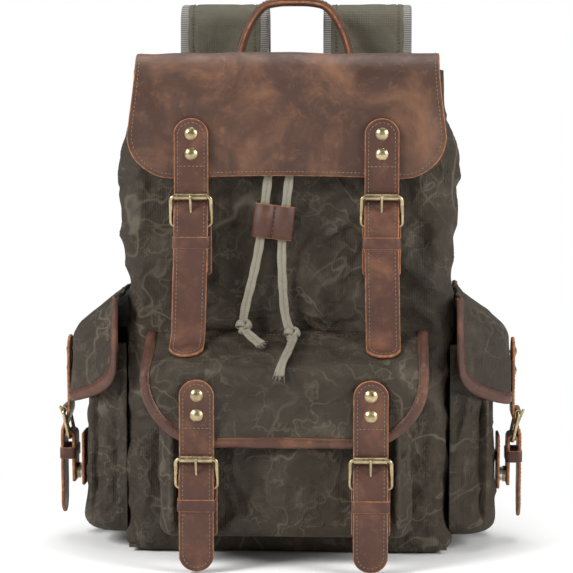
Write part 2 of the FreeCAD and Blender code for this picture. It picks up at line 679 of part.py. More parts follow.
webbing_top = Vector(0, back_face + 66, 201)
webbing_low = Vector(0, back_face + 5, 36)
webbing_path = [(webbing_top.y, webbing_top.z), (webbing_low.y, webbing_low.z), (back_face + 2.2, 14)]
solid("strap_webbing", Part.makeCompound([
    strip(webbing_path, [0, 20, 0], -mm("webbing_wall"), mm("webbing_width"), side * mm("shoulder_offset"))
    for side in (-1, 1)]))
along_webbing = (webbing_top - webbing_low).normalize()
outward = Vector(0, along_webbing.z, -along_webbing.y)
adjuster_seat = (webbing_top * 0.55 + webbing_low * 0.45) - outward * (mm("webbing_wall") / 2)


def adjuster_shape():
    """Flat metal loop that the webbing runs through."""
    room_x = mm("webbing_width") + 1.6
    room_y = mm("webbing_wall") + 1.2
    height = mm("adjuster_height")
    rim, lip = mm("adjuster_rim"), mm("adjuster_lip")
    block = Part.makeBox(room_x + 2 * rim, room_y + 2 * lip, height,
                         Vector(-room_x / 2 - rim, -room_y / 2 - lip, -height / 2))
    return block.cut(Part.makeBox(room_x, room_y, 2 * height, Vector(-room_x / 2, -room_y / 2, -height)))


webbing_lean = Rotation(Vector(0, 0, 1), along_webbing)
for label, side in (("adjuster_left", -1), ("adjuster_right", 1)):
    seat = adjuster_seat + Vector(side * mm("shoulder_offset"), 0, 0)
    solid(label, adjuster_shape(), Placement(seat, webbing_lean))

handle_y = back_face + mm("handle_set")
handle_low = mm("bag_height") + mm("handle_lift")
foot = mm("handle_span") / 2


def handle_shape():
    """Leather carry handle: an arch between its two feet."""
    top = handle_low + mm("handle_rise")
    wall = mm("handle_wall")
    outer = [Vector(-foot - wall / 2, 0, handle_low), Vector(-foot * mm("handle_shoulder"), 0, top),
             Vector(foot * mm("handle_shoulder"), 0, top), Vector(foot + wall / 2, 0, handle_low)]
    inner = [Vector(-foot + wall / 2, 0, handle_low),
             Vector(-foot * mm("handle_shoulder") + wall * 0.6, 0, top - wall),
             Vector(foot * mm("handle_shoulder") - wall * 0.6, 0, top - wall), Vector(foot - wall / 2,
                                                                                      0, handle_low)]
    edges = rounded_edges(outer, [0, 28, 28, 0]) + rounded_edges(inner[::-1], [0, 19, 19, 0])
    edges += [Part.LineSegment(outer[-1], inner[-1]).toShape(),
              Part.LineSegment(inner[0], outer[0]).toShape()]
    face = Part.Face(Part.Wire(Part.__sortEdges__(edges)))
    face.translate(Vector(0, handle_y - mm("handle_width") / 2, 0))
    return face.extrude(Vector(0, mm("handle_width"), 0))


solid("carry_handle", handle_shape())
anchor_reach = mm("handle_set") + mm("handle_width") / 2
solid("handle_anchors", Part.makeCompound([
    Part.makeBox(mm("anchor_width"), anchor_reach, mm("anchor_height"),
                 Vector(side * foot - mm("anchor_width") / 2, back_face + mm("sewn_gap"),
                        handle_low - mm("anchor_drop")))
    for side in (-1, 1)]))

# ---------------------------------------------------------------- write the parts

doc.recompute()
for item in doc.Objects:
    if "Invalid" in item.State or "Error" in item.State:
        raise RuntimeError(f"{item.Label} did not build: {item.State}")
for label, node in nodes.items():
    if node.Shape.isNull() or not node.Shape.isValid() or not node.Shape.Solids:
        raise RuntimeError(f"{label} has no valid solid")
os.makedirs("parts", exist_ok=True)
for label, node in nodes.items():
    node.Shape.exportStep(f"parts/{label}.step")
print(len(nodes), "parts")
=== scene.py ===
"""Finishes of a travel backpack: waxed canvas, pull-up leather and antique brass on its CAD frame.

Metres, +Z up, the front faces -Y. Laid out as an add-on and run as a script.
"""
import math
import bmesh
import bpy
import numpy as np
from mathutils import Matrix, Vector, noise


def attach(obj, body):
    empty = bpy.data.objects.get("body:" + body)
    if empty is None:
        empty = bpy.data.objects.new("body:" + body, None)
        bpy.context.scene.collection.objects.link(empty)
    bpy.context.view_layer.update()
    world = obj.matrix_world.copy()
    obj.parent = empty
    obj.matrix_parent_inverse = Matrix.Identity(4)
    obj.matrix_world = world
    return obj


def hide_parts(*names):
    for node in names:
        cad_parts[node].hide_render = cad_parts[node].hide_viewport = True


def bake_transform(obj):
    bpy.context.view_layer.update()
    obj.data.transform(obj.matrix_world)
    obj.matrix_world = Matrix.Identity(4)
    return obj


bl_info = {
    "name": "Travel Backpack Finishes",
    "version": (1, 0, 0),
    "blender": (4, 5, 0),
    "location": "View3D > Sidebar > Backpack",
    "description": "Canvas, leather and brass pieces built round the backpack's CAD frame",
    "category": "Object",
}

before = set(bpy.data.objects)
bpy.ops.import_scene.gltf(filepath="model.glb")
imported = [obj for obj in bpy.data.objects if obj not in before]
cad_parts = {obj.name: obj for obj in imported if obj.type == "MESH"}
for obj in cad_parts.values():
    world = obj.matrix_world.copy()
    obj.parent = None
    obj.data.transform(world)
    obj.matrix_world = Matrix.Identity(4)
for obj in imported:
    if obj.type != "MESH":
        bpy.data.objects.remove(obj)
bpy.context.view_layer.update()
MM = 0.001


# ---------------------------------------------------------------- settings

class BackpackColours(bpy.types.PropertyGroup):
    """Colours of the finishes, as linear RGB."""
    canvas: bpy.props.FloatVectorProperty(
        name="Canvas", description="Waxed canvas between its creases", subtype="COLOR", size=3,
        default=(0.028, 0.0212, 0.0145), min=0, max=1)
    crease: bpy.props.FloatVectorProperty(
        name="Crease", description="Pale lines where the wax has cracked", subtype="COLOR", size=3,
        default=(0.225, 0.188, 0.138), min=0, max=1)
    leather: bpy.props.FloatVectorProperty(
        name="Leather", description="Dark base of the pull-up leather", subtype="COLOR", size=3,
        default=(0.048, 0.0205, 0.0120), min=0, max=1)
    leather_light: bpy.props.FloatVectorProperty(
        name="Leather highlight", description="Tan patches where the leather is stretched or rubbed",
        subtype="COLOR", size=3, default=(0.160, 0.072, 0.036), min=0, max=1)
    raw_edge: bpy.props.FloatVectorProperty(
        name="Raw edge", description="Cut edge of the leather", subtype="COLOR", size=3,
        default=(0.36, 0.135, 0.045), min=0, max=1)
    brass: bpy.props.FloatVectorProperty(
        name="Brass", description="Antique brass of buckles and rivets", subtype="COLOR", size=3,
        default=(0.46, 0.37, 0.215), min=0, max=1)
    cord: bpy.props.FloatVectorProperty(
        name="Cord", description="Folded canvas strip of the drawcord", subtype="COLOR", size=3,
        default=(0.180, 0.165, 0.125), min=0, max=1)
    thread: bpy.props.FloatVectorProperty(
        name="Thread", description="Stitching thread", subtype="COLOR", size=3,
        default=(0.20, 0.14, 0.085), min=0, max=1)


class BackpackSizes(bpy.types.PropertyGroup):
    """Sizes of the sewn and swept details."""
    stitch_pitch: bpy.props.FloatProperty(
        name="Stitch pitch", description="Distance from one stitch to the next", unit="LENGTH",
        default=0.0036, min=0.001, max=0.01)
    seam_inset: bpy.props.FloatProperty(
        name="Seam inset", description="Distance from a leather edge to its stitch line", unit="LENGTH",
        default=0.0032, min=0.001, max=0.01)
    binding_width: bpy.props.FloatProperty(
        name="Binding width", description="Width of the leather round a pocket flap's edge", unit="LENGTH",
        default=0.0085, min=0.004, max=0.02)
    cord_width: bpy.props.FloatProperty(
        name="Cord width", description="Width of the flat drawcord", unit="LENGTH", default=0.0085, min=0.004)
    body_fold: bpy.props.FloatProperty(
        name="Body folds", description="Depth of the folds in the bag's body", unit="LENGTH",
        default=0.0075, min=0, max=0.01)
    camera_distance: bpy.props.FloatProperty(
        name="Camera distance", description="From the camera to the middle of the bag", unit="LENGTH",
        default=2.0, min=0.5)


def colours():
    """The colour settings of this scene."""
    return bpy.context.scene.backpack_colours


def sizes():
    """The size settings of this scene."""
    return bpy.context.scene.backpack_sizes


# ---------------------------------------------------------------- materials

class Shade:
    """A material's node tree, with short calls for the nodes that the finishes share."""

    def __init__(self, name):
        self.material = bpy.data.materials.new(name)
        self.material.use_nodes = True
        self.tree = self.material.node_tree
        self.surface = self.tree.nodes["Principled BSDF"]
        self.place = self.node("ShaderNodeTexCoord").outputs["Object"]

    def node(self, kind, **inputs):
        """A new node; each keyword is an input by name, a value or a socket to link."""
        made = self.tree.nodes.new(kind)
        for name, value in inputs.items():
            self.put(made.inputs[name.replace("_", " ")], value)
        return made

    def put(self, socket, value):
        """Set or link one input."""
        if isinstance(value, bpy.types.NodeSocket):
            self.tree.links.new(value, socket)
        else:
            socket.default_value = value

    def noise(self, scale, detail=4.0, roughness=0.55, vector=None, distortion=0.0):
        """Fractal noise, from 0 to 1."""
        made = self.node("ShaderNodeTexNoise", Vector=vector or self.place, Scale=scale, Detail=detail,
                         Roughness=roughness, Distortion=distortion)
        return made.outputs[0]

    def ramp(self, value, low, high, start=0.0, end=1.0):
        """A smooth step of value from low to high."""
        made = self.tree.nodes.new("ShaderNodeMapRange")
        made.interpolation_type = "SMOOTHSTEP"
        for socket, number in zip(made.inputs[1:5], (low, high, start, end)):
            socket.default_value = number
        self.put(made.inputs[0], value)
        return made.outputs[0]

    def math(self, operation, first, second=0.0):
        """One arithmetic step."""
        made = self.tree.nodes.new("ShaderNodeMath")
        made.operation = operation
        self.put(made.inputs[0], first)
        self.put(made.inputs[1], second)
        return made.outputs[0]

    def mix(self, factor, first, second, blend="MIX"):
        """Mix of two colours."""
        made = self.tree.nodes.new("ShaderNodeMix")
        made.data_type = "RGBA"
        made.blend_type = blend
        self.put(made.inputs["Factor"], factor)
        for socket, value in ((made.inputs[6], first), (made.inputs[7], second)):
            self.put(socket, (*value, 1.0) if not isinstance(value, bpy.types.NodeSocket) else value)
        return made.outputs[2]

    def crease(self, scale, width, distortion=1.2):
        """Thin branching lines: 1 on the line, 0 away from it."""
        away = self.math("ABSOLUTE", self.math("SUBTRACT", self.noise(scale, 2.5, 0.5,
                                                                      distortion=distortion), 0.5))
        return self.ramp(away, 0.0, width, 1.0, 0.0)

    def bump(self, height, strength, distance, under=None):
        """A bump normal, on top of another."""
        made = self.node("ShaderNodeBump", Height=height, Strength=strength, Distance=distance)
        if under is not None:
            self.put(made.inputs["Normal"], under)
        return made.outputs[0]

    def weave(self, period):
        """Plain weave height, from two crossed waves."""
        total = None
        for direction in ("X", "Y", "Z"):
            wave = self.node("ShaderNodeTexWave", Vector=self.place, Scale=0.314 / period / 2, Distortion=0.6)
            wave.bands_direction = direction
            wave.inputs["Detail Scale"].default_value = 2.0
            height = wave.outputs["Fac"]
            total = height if total is None else self.math("ADD", total, height)
        return total

    def finish(self, colour, roughness, normal=None, **values):
        """Link the surface and return the material."""
        self.put(self.surface.inputs["Base Color"], colour if isinstance(colour, bpy.types.NodeSocket)
                 else (*colour, 1.0))
        self.put(self.surface.inputs["Roughness"], roughness)
        if normal is not None:
            self.put(self.surface.inputs["Normal"], normal)
        for name, value in values.items():
            self.surface.inputs[name.replace("_", " ")].default_value = value
        return self.material


def waxed_canvas(name="waxed_canvas", dark=None, pale=None, lines=1.0):
    """Waxed canvas: dark ground, cloudy wear and pale cracks in the wax."""
    shade = Shade(name)
    ground = tuple(dark or colours().canvas)
    pale = tuple(pale or colours().crease)
    cloud = shade.ramp(shade.noise(7.0, 5.0, 0.6), 0.35, 0.72)
    colour = shade.mix(cloud, ground, tuple(1.35 * c for c in ground))
    worn = shade.ramp(shade.noise(26.0, 6.0, 0.65), 0.50, 0.74)
    colour = shade.mix(shade.math("MULTIPLY", worn, 0.16), colour, pale)
    heights = None
    cracks = None
    for scale, width, share, distortion in ((8.0, 0.011, 1.0, 0.5), (17.0, 0.015, 0.8, 0.4), (38.0,
                                                                                              0.026, 0.6, 0.3)):
        away = shade.math("ABSOLUTE", shade.math("SUBTRACT", shade.noise(scale, 3.0, 0.55,
                                                                         distortion=distortion), 0.5))
        line = shade.math("MULTIPLY", shade.ramp(away, 0.0, width, share, 0.0),
                          shade.ramp(shade.noise(scale * 0.8), 0.40, 0.60))
        rise = shade.ramp(away, 0.0, 0.16, share / scale * 7.0, 0.0)
        cracks = line if cracks is None else shade.math("MAXIMUM", cracks, line)
        heights = rise if heights is None else shade.math("ADD", heights, rise)
    colour = shade.mix(shade.math("MULTIPLY", cracks, 0.28 * lines), colour, pale)
    speck = shade.ramp(shade.noise(900.0, 2.0), 0.40, 0.70)
    colour = shade.mix(shade.math("MULTIPLY", speck, 0.14), colour, tuple(1.9 * c for c in ground))
    creased = shade.bump(heights, 0.75 * min(lines, 1.0), 0.0065)
    folds = shade.bump(shade.noise(60.0, 6.0, 0.6), 0.40, 0.0024, creased)
    threads = shade.bump(shade.weave(0.0011), 0.35, 0.0003, folds)
    roughness = shade.ramp(cloud, 0.0, 1.0, 0.62, 0.82)
    return shade.finish(colour, roughness, threads, Specular_IOR_Level=0.22)


def pull_up_leather(name="pull_up_leather", dark=None, light=None, patch=16.0, spread=(0.42, 0.74)):
    """Oiled leather: dark base, tan clouds and scuffs, fine grain."""
    shade = Shade(name)
    dark = tuple(dark or colours().leather)
    light = tuple(light or colours().leather_light)
    clouds = shade.ramp(shade.noise(patch, 6.0, 0.62, distortion=0.5), *spread)
    colour = shade.mix(clouds, dark, light)
    fleck = shade.ramp(shade.noise(95.0, 5.0, 0.7), 0.52, 0.75)
    colour = shade.mix(shade.math("MULTIPLY", fleck, 0.38), colour, tuple(1.25 * c for c in light))
    deep = shade.ramp(shade.noise(38.0, 4.0), 0.55, 0.78)
    colour = shade.mix(shade.math("MULTIPLY", deep, 0.55), colour, tuple(0.5 * c for c in dark))
    scuff = shade.crease(30.0, 0.012, 2.0)
    scuff = shade.math("MULTIPLY", scuff, shade.ramp(shade.noise(12.0), 0.5, 0.66))
    colour = shade.mix(shade.math("MULTIPLY", scuff, 0.40), colour, tuple(1.6 * c for c in light))
    cells = shade.node("ShaderNodeTexVoronoi", Vector=shade.place, Scale=720.0)
    grain = shade.bump(cells.outputs["Distance"], 0.30, 0.00035)
    soft = shade.bump(shade.noise(70.0, 5.0, 0.6), 0.30, 0.0012, grain)
    roughness = shade.ramp(shade.noise(40.0, 4.0), 0.3, 0.7, 0.46, 0.66)
    return shade.finish(colour, roughness, soft, Specular_IOR_Level=0.42)


def raw_edge():
    """Cut leather edge: orange-tan fibres."""
    shade = Shade("raw_edge")
    tone = tuple(colours().raw_edge)
    streak = shade.noise(220.0, 4.0)
    colour = shade.mix(shade.ramp(streak, 0.35, 0.7), tuple(0.45 * c for c in tone), tone)
    return shade.finish(colour, 0.7, shade.bump(shade.noise(900.0, 2.0), 0.4, 0.0004))


def antique_brass():
    """Cast brass with dark hollows and rubbed high spots."""
    shade = Shade("antique_brass")
    tone = tuple(colours().brass)
    age = shade.ramp(shade.noise(120.0, 5.0, 0.6), 0.35, 0.7)
    colour = shade.mix(age, tuple(0.62 * c for c in tone), tone)
    roughness = shade.ramp(shade.noise(300.0, 3.0), 0.3, 0.7, 0.24, 0.44)
    dents = shade.bump(shade.noise(260.0, 3.0), 0.25, 0.0004)
    return shade.finish(colour, roughness, dents, Metallic=1.0)


def snap_steel():
    """Nickel-plated snap."""
    shade = Shade("snap_steel")
    colour = shade.mix(shade.ramp(shade.noise(200.0), 0.4, 0.7), (0.42, 0.42, 0.42), (0.66, 0.66, 0.65))
    return shade.finish(colour, 0.3, shade.bump(shade.noise(400.0), 0.15, 0.0003), Metallic=1.0)


def thread_finish(name, tone):
    """Twisted thread."""
    shade = Shade(name)
    colour = shade.mix(shade.ramp(shade.noise(700.0), 0.3, 0.7), tuple(0.55 * c for c in tone), tone)
    return shade.finish(colour, 0.75, shade.bump(shade.noise(2500.0), 0.4, 0.0002))


def ribbed_webbing():
    """Grey ribbed webbing."""
    shade = Shade("ribbed_webbing")
    ribs = shade.node("ShaderNodeTexWave", Vector=shade.place, Scale=150.0, Distortion=0.4)
    ribs.bands_direction = "Z"
    tone = shade.mix(ribs.outputs["Fac"], (0.095, 0.088, 0.082), (0.235, 0.22, 0.205))
    return shade.finish(tone, 0.85, shade.bump(ribs.outputs["Fac"], 0.5, 0.0006), Specular_IOR_Level=0.25)


MATERIALS = {}


def make_materials():
    """Every finish, by name."""
    olive = (0.064, 0.058, 0.041)
    MATERIALS.update(
        canvas=waxed_canvas(),
        lining=waxed_canvas("lining", (0.05, 0.045, 0.035), (0.10, 0.09, 0.07), 0.3),
        strap_canvas=waxed_canvas("strap_canvas", olive, (0.16, 0.15, 0.11), 0.35),
        leather=pull_up_leather(),
        strap_leather=pull_up_leather("strap_leather", (0.056, 0.0205, 0.0115), (0.145, 0.058, 0.029),
                                      26.0, (0.46, 0.80)),
        suede=pull_up_leather("suede", (0.075, 0.045, 0.028), (0.15, 0.095, 0.06), 30.0),
        edge=raw_edge(),
        brass=antique_brass(),
        steel=snap_steel(),
        cord=waxed_canvas("cord_canvas", tuple(colours().cord), (0.33, 0.31, 0.25), 0.25),
        thread=thread_finish("thread", tuple(colours().thread)),
        dark_thread=thread_finish("dark_thread", (0.085, 0.06, 0.04)),
        webbing=ribbed_webbing(),
    )


# ---------------------------------------------------------------- mesh helpers

def add_mesh(name, points, faces, materials, indices=None, smooth=True):
    """A mesh object from points in the row frame."""
    mesh = bpy.data.meshes.new(name)
    mesh.from_pydata([tuple(p) for p in points], [], [tuple(f) for f in faces])
    for key in materials:
        mesh.materials.append(MATERIALS[key])
    if indices is not None:
        mesh.polygons.foreach_set("material_index", np.asarray(indices, np.int32))
    mesh.polygons.foreach_set("use_smooth", [smooth] * len(mesh.polygons))
    mesh.update()
    piece = bpy.data.objects.new(name, mesh)
    bpy.context.scene.collection.objects.link(piece)
    return piece


def settle(piece, body, slot, *replaced):
    """Put a finished piece on its body and hide the CAD nodes that it stands for; the slot argument is not used.
    """
    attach(piece, body)
    if replaced:
        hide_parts(*replaced)
    return piece


def outward(piece):
    """Recalculate a closed mesh's normals."""
    edit = bmesh.new()
    edit.from_mesh(piece.data)
    bmesh.ops.remove_doubles(edit, verts=edit.verts, dist=1e-6)
    bmesh.ops.recalc_face_normals(edit, faces=edit.faces)
    edit.to_mesh(piece.data)
    edit.free()
    piece.data.update()
    return piece


def baked(piece):
    """Turn a piece's modifiers into its mesh."""
    bpy.context.view_layer.update()
    graph = bpy.context.evaluated_depsgraph_get()
    mesh = bpy.data.meshes.new_from_object(piece.evaluated_get(graph), depsgraph=graph)
    piece.modifiers.clear()
    piece.data = mesh
    return piece


def joined(name, parts):
    """One object from several, keeping their materials."""
    edit = bmesh.new()
    keys = []
    for part in parts:
        start = len(edit.faces)
        edit.from_mesh(part.data)
        edit.faces.ensure_lookup_table()
        slots = [material.name for material in part.data.materials]
        for slot in slots:
            if slot not in keys:
                keys.append(slot)
        for face in edit.faces[start:]:
            face.material_index = keys.index(slots[face.material_index])
        bpy.data.objects.remove(part)
    mesh = bpy.data.meshes.new(name)
    edit.to_mesh(mesh)
    edit.free()
    for key in keys:
        mesh.materials.append(bpy.data.materials[key])
    piece = bpy.data.objects.new(name, mesh)
    bpy.context.scene.collection.objects.link(piece)
    return piece


def ridge(points, scale, offset=0.0, sharp=2.0):
    """Ridged noise at each point: 1 on a fold line, falling to 0 beside it."""
    shift = Vector((offset, 2.3 * offset, 0.7 * offset))
    values = [noise.noise(Vector(p) * scale + shift) for p in points]
    return np.clip(1 - 2.6 * np.abs(np.array(values)), 0, 1) ** sharp


def rolling(points, scale, offset=0.0):
    """Smooth noise at each point, about -1 to 1."""
    shift = Vector((offset, 1.7 * offset, -offset))
    return np.array([noise.fractal(Vector(p) * scale + shift, 0.9, 2.0, 3) for p in points])


def smooth_step(value, low, high):
    """0 below low, 1 above high."""
    t = np.clip((np.asarray(value, float) - low) / (high - low), 0, 1)
    return t * t * (3 - 2 * t)


class Profile:
    """A YZ path of straight runs joined by arcs, measured by its length."""

    def __init__(self, points, radii, step=0.0015):
        line = [np.array(points[0], float)]
        for before, here, after, radius in zip(points, points[1:], points[2:], radii):
            before, here, after = (np.array(p, float) for p in (before, here, after))
            to_before = (before - here) / np.linalg.norm(before - here)
            to_after = (after - here) / np.linalg.norm(after - here)
            half = (math.pi - math.acos(np.clip(to_before @ to_after, -1, 1))) / 2
            setback = radius * math.tan(half)
            start = here + to_before * setback
            end = here + to_after * setback
            inward = (to_before + to_after) / np.linalg.norm(to_before + to_after)
            centre = here + inward * radius / math.cos(half)
            count = max(int(radius * 2 * half / step), 6)
            for share in np.linspace(0, 1, count + 1):
                chord = start * (1 - share) + end * share - centre
                line.append(centre + chord / np.linalg.norm(chord) * radius)
        line.append(np.array(points[-1], float))
        self.line = np.array(line)
        runs = np.linalg.norm(np.diff(self.line, axis=0), axis=1)
        self.marks = np.concatenate([[0], np.cumsum(runs)])
        self.length = self.marks[-1]

    def at(self, s):
        """Places (y, z) at distances s, run on straight past both ends."""
        s = np.asarray(s, float)
        y = np.interp(s, self.marks, self.line[:, 0])
        z = np.interp(s, self.marks, self.line[:, 1])
        for end, inner, beyond in ((0, 1, np.minimum(s, 0)), (-1, -2, np.maximum(s - self.length, 0))):
            way = self.line[end] - self.line[inner]
            way = way / np.linalg.norm(way)
            y = y + way[0] * np.abs(beyond)
            z = z + way[1] * np.abs(beyond)
        return y, z


def normals_of(grid):
    """Unit normals of a grid of points, by its rows and columns."""
    along = np.gradient(grid, axis=0)
    across = np.gradient(grid, axis=1)
    normal = np.cross(along, across)
    size = np.linalg.norm(normal, axis=2, keepdims=True)
    return normal / np.maximum(size, 1e-12)


def slab(name, grid, thickness, materials, edge_bulge=0.25):
    """Closed sheet from a grid of middle points: face, edge and back materials."""
    rows, columns = grid.shape[:2]
    normal = normals_of(grid)
    half = thickness / 2
    front = grid + normal * half
    back = grid - normal * half
    ring = [(0, c) for c in range(columns)] + [(r, columns - 1) for r in range(1, rows)]
    ring += [(rows - 1, c) for c in range(columns - 2, -1, -1)] + [(r, 0) for r in range(rows - 2, 0, -1)]
    rim = np.array([grid[r, c] for r, c in ring])
    rim_normal = np.array([normal[r, c] for r, c in ring])
    along = np.roll(rim, -1, axis=0) - np.roll(rim, 1, axis=0)
    away = np.cross(along, rim_normal)
    away = away / np.maximum(np.linalg.norm(away, axis=1, keepdims=True), 1e-12)
    if np.mean(np.einsum("ij,ij->i", away, rim - grid.reshape(-1, 3).mean(0))) < 0:
        away = -away
    bulge = thickness * edge_bulge
    rims = [rim + rim_normal * (half * 0.55) + away * bulge, rim - rim_normal * (half * 0.55) + away * bulge]
    points = np.concatenate([front.reshape(-1, 3), back.reshape(-1, 3), *rims])
    count = rows * columns
    faces, indices = [], []
    for r in range(rows - 1):
        for c in range(columns - 1):
            a, b, d, e = r * columns + c, r * columns + c + 1, (r + 1) * columns + c + 1, (r + 1) * columns + c
            faces += [(a, e, d, b), (a + count, b + count, d + count, e + count)]
            indices += [0, 2]
    size = len(ring)
    for i in range(size):
        j = (i + 1) % size
        top = (ring[i][0] * columns + ring[i][1], ring[j][0] * columns + ring[j][1])
        first, second = 2 * count, 2 * count + size
        faces += [(top[0], top[1], first + j, first + i), (first + i, first + j, second + j, second + i),
                  (second + i, second + j, top[1] + count, top[0] + count)]
        indices += [1, 1, 1]
    return outward(add_mesh(name, points, faces, materials, indices))


def turn_points(points, sign):
    """Front-facing points turned to the right side (+1) or the left side (-1)."""
    points = np.asarray(points, float)
    if sign == 0:
        return points
    turned = points.copy()
    turned[..., 0] = -sign * points[..., 1]
    turned[..., 1] = sign * points[..., 0]
    return turned


def sheet_grid(surface, width, limits, columns, rows, ease=1.0):
    """Grid over a sheet: u across, s from limits(u)[0] to limits(u)[1]."""
    u = np.linspace(-1, 1, columns)
    u = np.sign(u) * (1 - (1 - np.abs(u)) ** ease) * width / 2
    low, high = limits(u)
    share = np.linspace(0, 1, rows)[:, None]
    s = low[None, :] * (1 - share) + high[None, :] * share
    across = np.broadcast_to(u[None, :], s.shape)
    return surface(across, s)


def corner_limits(width, length, low_corner, high_corner):
    """Where a sheet starts and ends at u, with rounded corners at s = 0 and at s = length."""
    def limits(u):
        ends = []
        for corner in (low_corner, high_corner):
            over = np.clip(np.abs(u) - (width / 2 - corner), 0, corner)
            ends.append(corner - np.sqrt(np.maximum(corner ** 2 - over ** 2, 0)))
        return ends[0], length - ends[1]
    return limits


# ---------------------------------------------------------------- stitches

def stitch_tree():
    """Geometry nodes: one thread bead per point, lying along its run and flat on the surface."""
    tree = bpy.data.node_groups.new("stitches", "GeometryNodeTree")
    face = tree.interface
    face.new_socket("Geometry", in_out="INPUT", socket_type="NodeSocketGeometry")
    for name in ("Bead Length", "Bead Width"):
        socket = face.new_socket(name, in_out="INPUT", socket_type="NodeSocketFloat")
        socket.default_value = 0.002
    face.new_socket("Finish", in_out="INPUT", socket_type="NodeSocketMaterial")
    face.new_socket("Geometry", in_out="OUTPUT", socket_type="NodeSocketGeometry")
    new, link = tree.nodes.new, tree.links.new
    start, end = new("NodeGroupInput"), new("NodeGroupOutput")
    bead = new("GeometryNodeMeshUVSphere")
    bead.inputs["Segments"].default_value = 6
    bead.inputs["Rings"].default_value = 4
    bead.inputs["Radius"].default_value = 0.5
    size = new("ShaderNodeCombineXYZ")
    flat = new("ShaderNodeMath")
    flat.operation = "MULTIPLY"
    flat.inputs[1].default_value = 0.8
    link(start.outputs["Bead Width"], flat.inputs[0])
    for output, socket in (("Bead Length", 0), ("Bead Width", 1)):
        link(start.outputs[output], size.inputs[socket])
    link(flat.outputs[0], size.inputs[2])
    turns = []
    for axis, attribute in (("X", "along"), ("Z", "up")):
        named = new("GeometryNodeInputNamedAttribute")
        named.data_type = "FLOAT_VECTOR"
        named.inputs["Name"].default_value = attribute
        turn = new("FunctionNodeAlignRotationToVector")
        turn.axis = axis
        turn.pivot_axis = "X" if axis == "Z" else "AUTO"
        link(named.outputs[0], turn.inputs["Vector"])
        if turns:
            link(turns[-1].outputs[0], turn.inputs["Rotation"])
        turns.append(turn)
    place = new("GeometryNodeInstanceOnPoints")
    link(start.outputs["Geometry"], place.inputs["Points"])
    link(bead.outputs["Mesh"], place.inputs["Instance"])
    link(turns[-1].outputs[0], place.inputs["Rotation"])
    link(size.outputs[0], place.inputs["Scale"])
    real, finish = new("GeometryNodeRealizeInstances"), new("GeometryNodeSetMaterial")
    link(place.outputs[0], real.inputs[0])
    link(real.outputs[0], finish.inputs["Geometry"])
    link(start.outputs["Finish"], finish.inputs["Material"])
    link(finish.outputs[0], end.inputs[0])
    return tree


def resample(line, pitch):
    """Points along a polyline at an even pitch, with its directions."""
    runs = np.linalg.norm(np.diff(line, axis=0), axis=1)
    marks = np.concatenate([[0], np.cumsum(runs)])
    count = max(int(marks[-1] / pitch), 1)
    at = (np.arange(count) + 0.5) * marks[-1] / count
    points = np.stack([np.interp(at, marks, line[:, k]) for k in range(3)], axis=1)
    ahead = np.stack([np.interp(at + pitch / 4, marks, line[:, k]) for k in range(3)], axis=1)
    behind = np.stack([np.interp(at - pitch / 4, marks, line[:, k]) for k in range(3)], axis=1)
    return points, ahead - behind, at / marks[-1]


def stitches(name, runs, body, finish="thread", bead=(0.0026, 0.0009)):
    """Stitch beads along runs, each a pair of arrays: a line of points and their outward normals."""
    places, along, up = [], [], []
    for line, normal in runs:
        line, normal = np.asarray(line, float), np.asarray(normal, float)
        points, ways, share = resample(line, sizes().stitch_pitch)
        marks = np.linspace(0, 1, len(normal))
        places.append(points)
        along.append(ways)
        up.append(np.stack([np.interp(share, marks, normal[:, k]) for k in range(3)], axis=1))
    mesh = bpy.data.meshes.new(name)
    mesh.from_pydata([tuple(p) for p in np.concatenate(places)], [], [])
    for key, values in (("along", along), ("up", up)):
        attribute = mesh.attributes.new(key, "FLOAT_VECTOR", "POINT")
        attribute.data.foreach_set("vector", np.concatenate(values).astype(np.float32).ravel())
    piece = bpy.data.objects.new(name, mesh)
    bpy.context.scene.collection.objects.link(piece)
    tree = bpy.data.node_groups.get("stitches") or stitch_tree()
    modifier = piece.modifiers.new("stitches", "NODES")
    modifier.node_group = tree
    sockets = {item.name: item.identifier for item in tree.interface.items_tree if item.in_out == "INPUT"}
    modifier[sockets["Bead Length"]] = bead[0]
    modifier[sockets["Bead Width"]] = bead[1]
    modifier[sockets["Finish"]] = MATERIALS[finish]
    baked(piece)
    piece.data.polygons.foreach_set("use_smooth", [True] * len(piece.data.polygons))
    if body:
        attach(piece, body)
    return piece


def surface_line(surface, u, s, lift, sign):
    """A line on a sheet, lifted off it, and its normals, turned to its side of the bag."""
    u, s = np.asarray(u, float), np.asarray(s, float)
    step = 0.0008
    here = surface(u, s)
    normal = np.cross(surface(u, s + step) - here, surface(u + step, s) - here)
    normal = normal / np.maximum(np.linalg.norm(normal, axis=-1, keepdims=True), 1e-12)
    return turn_points(here + normal * lift, sign), turn_points(normal, sign)


# ---------------------------------------------------------------- bag body and pockets

def rounded_plan(half_x, half_y, radius, count):
    """Points round a rounded rectangle, evenly spaced, from the middle of its back."""
    corners = [(half_x, half_y), (half_x, -half_y), (-half_x, -half_y), (-half_x, half_y)]
    line = [(0.0, half_y)]
    for k, (x, y) in enumerate(corners):
        centre = (x - math.copysign(radius, x), y - math.copysign(radius, y))
        start = math.pi / 2 - k * math.pi / 2
        for turn in np.linspace(0, math.pi / 2, 14):
            line.append((centre[0] + radius * math.cos(start - turn),
                         centre[1] + radius * math.sin(start - turn)))
    line = np.array(line + [line[0]])
    return even_line(line, count + 1)[:-1]


def even_line(line, count):
    """The same polyline with count evenly spaced points."""
    marks = np.concatenate([[0], np.cumsum(np.linalg.norm(np.diff(line, axis=0), axis=1))])
    at = np.linspace(0, marks[-1], count)
    return np.stack([np.interp(at, marks, line[:, k]) for k in range(line.shape[1])], axis=1)


